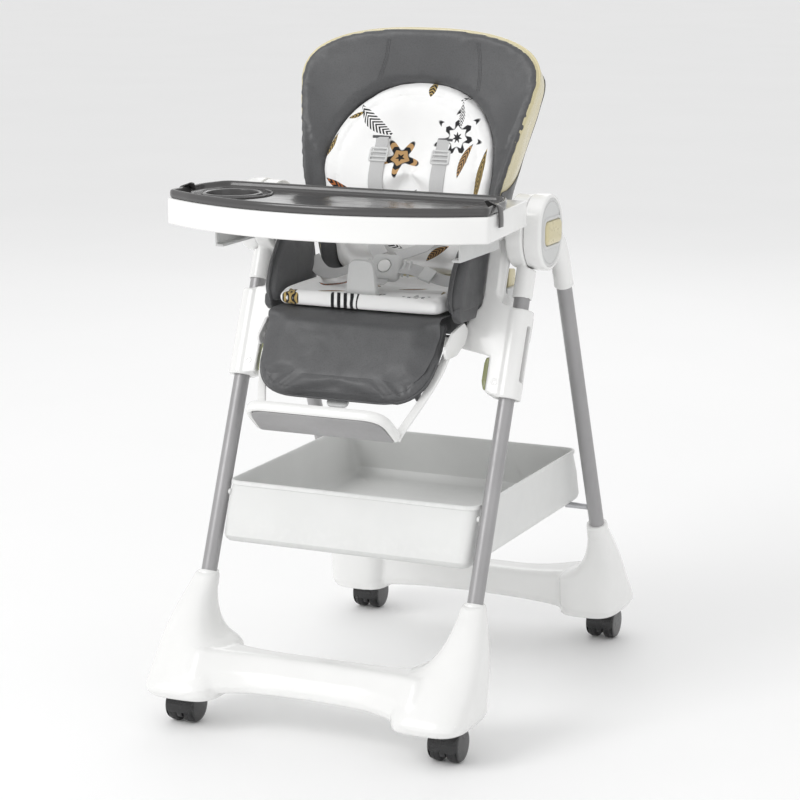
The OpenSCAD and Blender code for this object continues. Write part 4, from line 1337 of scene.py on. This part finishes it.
def seat_insert():
    """Printed insert: a thin pad between a front roll and two side rolls."""
    outline = rounded([(-137, -166), (137, -166), (137, 2), (-137, 2)], [8, 8, 14, 14], 6)
    parts = [prism("seat_slab", outline, 648, 659.5)]
    rolls = [([(x, -168, 659.8) for x in np.linspace(-134, 134, 24)], 11),
             ([(x, -1, 666.5) for x in np.linspace(-122, 122, 24)], 9.6)]
    rolls += [([(sign * 128, y, 664) for y in np.linspace(-160, -14, 22)], 9.8) for sign in SIDES.values()]
    parts += [sweep("seat_roll", path, circle(r, 20), side=(0, 0, 1)) for path, r in rolls]
    pad = joined("seat_insert_pad", parts)
    fused(pad, 3.4, 9)
    inflate(pad, 3.8, 3.2, lambda x, y, z: z < 0.6494)
    dress(pad, "print_seat", "seat", "seat_insert")


def seat_flap():
    """Dark leather that runs from under the insert over the top of the calf pad and down its front."""
    # Rows of (y, z, half-width) above, and of (height on the pad, lift off it, half-width) below
    upper = ((-98, 643.2, 140), (-130, 643.6, 140), (-160, 644.4, 141), (-177, 643.6, 143),
             (-189, 637.6, 146))
    lower = ((-10, 12.4, 146), (-26, 9.2, 146), (-42, 6.4, 145), (-58, 4.2, 142), (-72, 2.5, 138),
             (-84, 1.2, 133), (-92, 0.3, 127), (-98, -0.8, 119))
    wide, long = 49, 48
    pad = bpy.data.objects["calf_cushion"]
    forward = CALF.to_3x3() @ Vector((0, -1, 0))
    across = np.linspace(-1, 1, wide)
    rows = [[(half * t, y, z) for t in across] for y, z, half in upper]
    for height, lift, half in lower:
        hits = surface_points(pad, [(half * t, height) for t in across], CALF)
        rows.append([tuple(where / MM + forward * lift) for where, _ in hits])
    columns = [spline(column, long) for column in zip(*rows)]
    points = [column[k] for k in range(long) for column in columns]
    corners = [k * wide + i for k in range(long - 1) for i in range(wide - 1)]
    faces = [(c, c + 1, c + wide + 1, c + wide) for c in corners]
    flap = mesh_object("seat_flap", points, faces)
    modify(flap, "SOLIDIFY", thickness=1.5 * MM, offset=0)
    smooth(flap, 60)
    dress(flap, "dark_leather")
    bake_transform(flap)


def seat_fittings():
    """The seat's shell, and the cross tubes under it."""
    copied("seat_shell", "seat_pan", "light_grey_plastic", "seat", 2)
    copied("seat_cross_tubes", "cross_tubes", "leg_tube", "seat", 0.8)


# ---- Harness ----

BUCKLE = placed((0, -0.062, 0.696), -Vector(JOINT["buckle_press"]["axis"]))
STRAP_THICK, STRAP_FACE = 1.5, (0, -0.6, 0.8)


def strap(name, path, width, body=None):
    """Flat webbing along a path in millimetres, with soft edges."""
    a, b = width / 2, STRAP_THICK / 2
    section = rounded([(-a, -b), (a, -b), (a, b), (-a, b)], b * 0.9, 3)
    return dress(sweep(name, path, section, side=STRAP_FACE), "strap_webbing", body)


def crotch_post():
    """Soft grey tongue between the legs, with a raised rim."""
    outline = resampled(rounded([(-27, 668), (27, 668), (20.5, 725), (-20.5, 725)], [5, 5, 14, 14], 8), 120)
    profile = [(0.5, -149.4), (0.93, -149.2), (0.985, -150), (1, -152), (1, -156.6), (0.985, -159),
               (0.95, -160.4), (0.9, -160.6), (0.87, -160.1), (0.6, -160.4), (0.2, -160.6)]
    tongue = loft("crotch_tongue", pad_rings(outline, profile, (0, 692)))
    dress(tongue, "light_grey_plastic", "seat", "crotch_post")
    path = spline([(0, -148, 689), (0, -136, 685), (0, -112, 679.5), (0, -94, 679), (0, -82, 683)], 30)
    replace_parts(strap("crotch_strap", path, 24, "seat"), "harness_crotch")


def buckle():
    """Domed buckle with a round button that sits in a well."""
    outline = resampled(rounded([(-26, -22), (26, -22), (26, 22), (-26, 22)], 12, 8), 128)
    outline = sorted_about(outline, (0, 0))
    turns = [math.atan2(y, x) for x, y in outline]
    spots = [(0.9, 0), (0.97, 0.2), (1, 1.8), (1, 7), (0.985, 9), (0.95, 10.8), (0.88, 12.2), (0.78, 13)]
    rings = [[(x * s, y * s, z) for x, y in outline] for s, z in spots]
    rings += [[(r * math.cos(a), r * math.sin(a), z) for a in turns]
              for r, z in ((14.2, 13.6), (12.6, 13.5), (11.7, 12.8), (11.6, 6.2), (4, 5.6))]
    dress(loft("buckle_case", rings, BUCKLE), "light_grey_plastic", "seat", "buckle_body")
    button = turned("buckle_push", [(9.3, 0.1), (9.3, 10.4), (13.4, 10.9), (14.5, 10.2), (15.2, 8), (15.5, 4),
                                    (15.6, 0.1)], BUCKLE, 48)
    dress(button, "white_plastic", "buckle_button", "buckle_button")
    for number, x in enumerate((31, 41, -31)):
        profile = [(-14, 0.1), (-14, 1.6), (-13, 2.4), (13, 2.4), (14, 1.6), (14, 0.1)]
        place = BUCKLE @ at(x, 0, 6) @ Matrix.Rotation(math.pi / 2, 4, "X")
        dress(turned(f"buckle_bar_{number}", profile, place, 20), "light_grey_plastic", "seat")


def waist_straps():
    """A strap from the buckle to each side of the seat, and an adjuster on the right one."""
    route = ((22, -66, 700), (34, -67, 700.5), (48, -66, 699), (70, -60, 691), (96, -50, 682),
             (120, -42, 681), (136, -36, 690), (145, -34, 704))
    for side, sign in SIDES.items():
        path = spline([(sign * x, y, z) for x, y, z in route], 60)
        strap("waist_strap_" + side, path, 24, "seat")
    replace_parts(bpy.data.objects["waist_strap_right"], "harness_waist")
    path = [(x, -62 + (70 - x) * 0.05, 693.4 - (x - 64) * 0.33) for x in (60, 64, 68, 72, 76, 80)]
    block = sweep("waist_adjuster", path, rounded([(-13, -3), (13, -3), (13, 3), (-13, 3)], 2.4, 4),
                  side=STRAP_FACE)
    dress(bevel(block, 1), "light_grey_plastic", "seat")


def shoulder_straps(pad):
    """Straps that come out of slots in the insert, pass their adjusters and run down to the buckle."""
    for side, sign in SIDES.items():
        line = [(sign * (56 - 0.03 * (250 - z)), z) for z in np.linspace(243, 96, 16)]
        found = [(where + normal * 0.0016) / MM for where, normal in surface_points(pad, line, BACK)]
        path = [tuple(p) for p in found]
        path += [(sign * 44, -8, 729), (sign * 29, -34, 722), (sign * 15, -53, 717)]
        piece = strap("shoulder_strap_" + side, spline(path, 90), 25)
        if side == "right":
            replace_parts(piece, "shoulder_straps")
        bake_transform(piece)
        # Painted shade: a dark sliver on the insert stands for the shade inside the strap's slot; no hole is cut.
        slot = [(sign * 56 + x, z) for x, z in ((-14, 243.5), (0, 244), (14, 243.5))]
        hits = surface_points(pad, slot, BACK)
        slot_shade = sweep("strap_slot_" + side, [tuple((w + n * 0.0004) / MM) for w, n in hits],
                        [(u, v * 0.5) for u, v in circle(2.2)], side=tuple(hits[1][1]))
        dress(slot_shade, "dark_plastic", "backrest")
        middle, normal = surface_points(pad, [(sign * 55, 214)], BACK)[0]
        here = placed(middle + normal * 0.0032, normal)
        outline = resampled(rounded([(-16.5, -13), (16.5, -13), (16.5, 13), (-16.5, 13)], 4, 5), 80)
        loop = [(x, y, 0) for x, y in inset(outline, 2)]
        ring = sweep("strap_adjuster_" + side, loop, circle(2.0, 10), here, True, side=(0, 0, 1))
        bars = [sweep("strap_adjuster_bar", [(x, y, 0.6) for x in (-14, 0, 14)], circle(1.7, 10), here,
                      side=(0, 0, 1)) for y in (-4, 4)]
        stands = ["strap_adjusters"] if side == "right" else []
        adjuster = joined("strap_adjuster_whole_" + side, [ring] + bars)
        dress(adjuster, "light_grey_plastic", "backrest", *stands)


# ---- Room, light and camera ----


def area_light(name, location, target, size, power):
    """A square soft light that looks at target."""
    data = bpy.data.lights.new(name, "AREA")
    data.size = size
    data.energy = power
    obj = bpy.data.objects.new(name, data)
    obj.location = location
    obj.rotation_euler = (Vector(target) - Vector(location)).to_track_quat("-Z", "Y").to_euler()
    scene.collection.objects.link(obj)


def studio():
    """Plain pale floor, soft light from the upper left, and the camera."""
    far = 30000
    floor = mesh_object("floor", [(x * far, y * far, -0.6) for x, y in ((-1, -1), (1, -1), (1, 1), (-1, 1))],
                        [(0, 1, 2, 3)])
    material, tree, shader = surface("pale floor", Roughness=0.6, Specular_IOR_Level=0.3)
    drift = ramp(tree, noise(tree, 1.5, 3), 0.3, 0.7)
    tree.links.new(mix(tree, drift, (0.955, 0.955, 0.955), (0.97, 0.97, 0.97)), shader.inputs["Base Color"])
    floor.data.materials.append(material)
    world = bpy.data.worlds.new("studio")
    world.use_nodes = True
    background = world.node_tree.nodes["Background"]
    background.inputs["Color"].default_value = (1, 1, 1, 1)
    background.inputs["Strength"].default_value = 0.82
    scene.world = world
    area_light("key", (-1.9, -3.6, 3.3), (0, 0, 0.5), 2.2, 78)
    area_light("fill", (3.4, -2.4, 1.8), (0, 0, 0.5), 2.6, 7)
    area_light("rim", (-1.0, 3.4, 3.0), (0, 0, 0.6), 2.4, 18)
    data = bpy.data.cameras.new("camera")
    data.lens = 113.9
    data.sensor_width = 36
    camera = bpy.data.objects.new("camera", data)
    camera.location = (1.652, -3.668, 1.3287)
    camera.rotation_euler = (math.radians(90 - 12.018), 0, math.radians(24.316))
    scene.collection.objects.link(camera)
    scene.camera = camera
    scene.view_settings.view_transform = "Standard"


def carried_over():
    """Materials of the CAD nodes that are shown as they are."""
    for sub in frame["record"]["subparts"]:
        node = frame["nodes"][sub["node"]]
        slot = sub["material_slot"]
        look = "print_back" if slot == "print_fabric" else slot
        node.data.materials.clear()
        node.data.materials.append(MATERIALS[look])


carried_over()
bases()
hubs()
carriages()
casters()
basket()
tray_body()
tray_liner()
tray_fittings()
legrest()
footrest()
seat_base()
seat_wings()
seat_insert()
seat_flap()
seat_fittings()
crotch_post()
buckle()
waist_straps()
back_shell()
back_wrap()
back_border()
shoulder_straps(back_insert())
back_hardware()
studio()
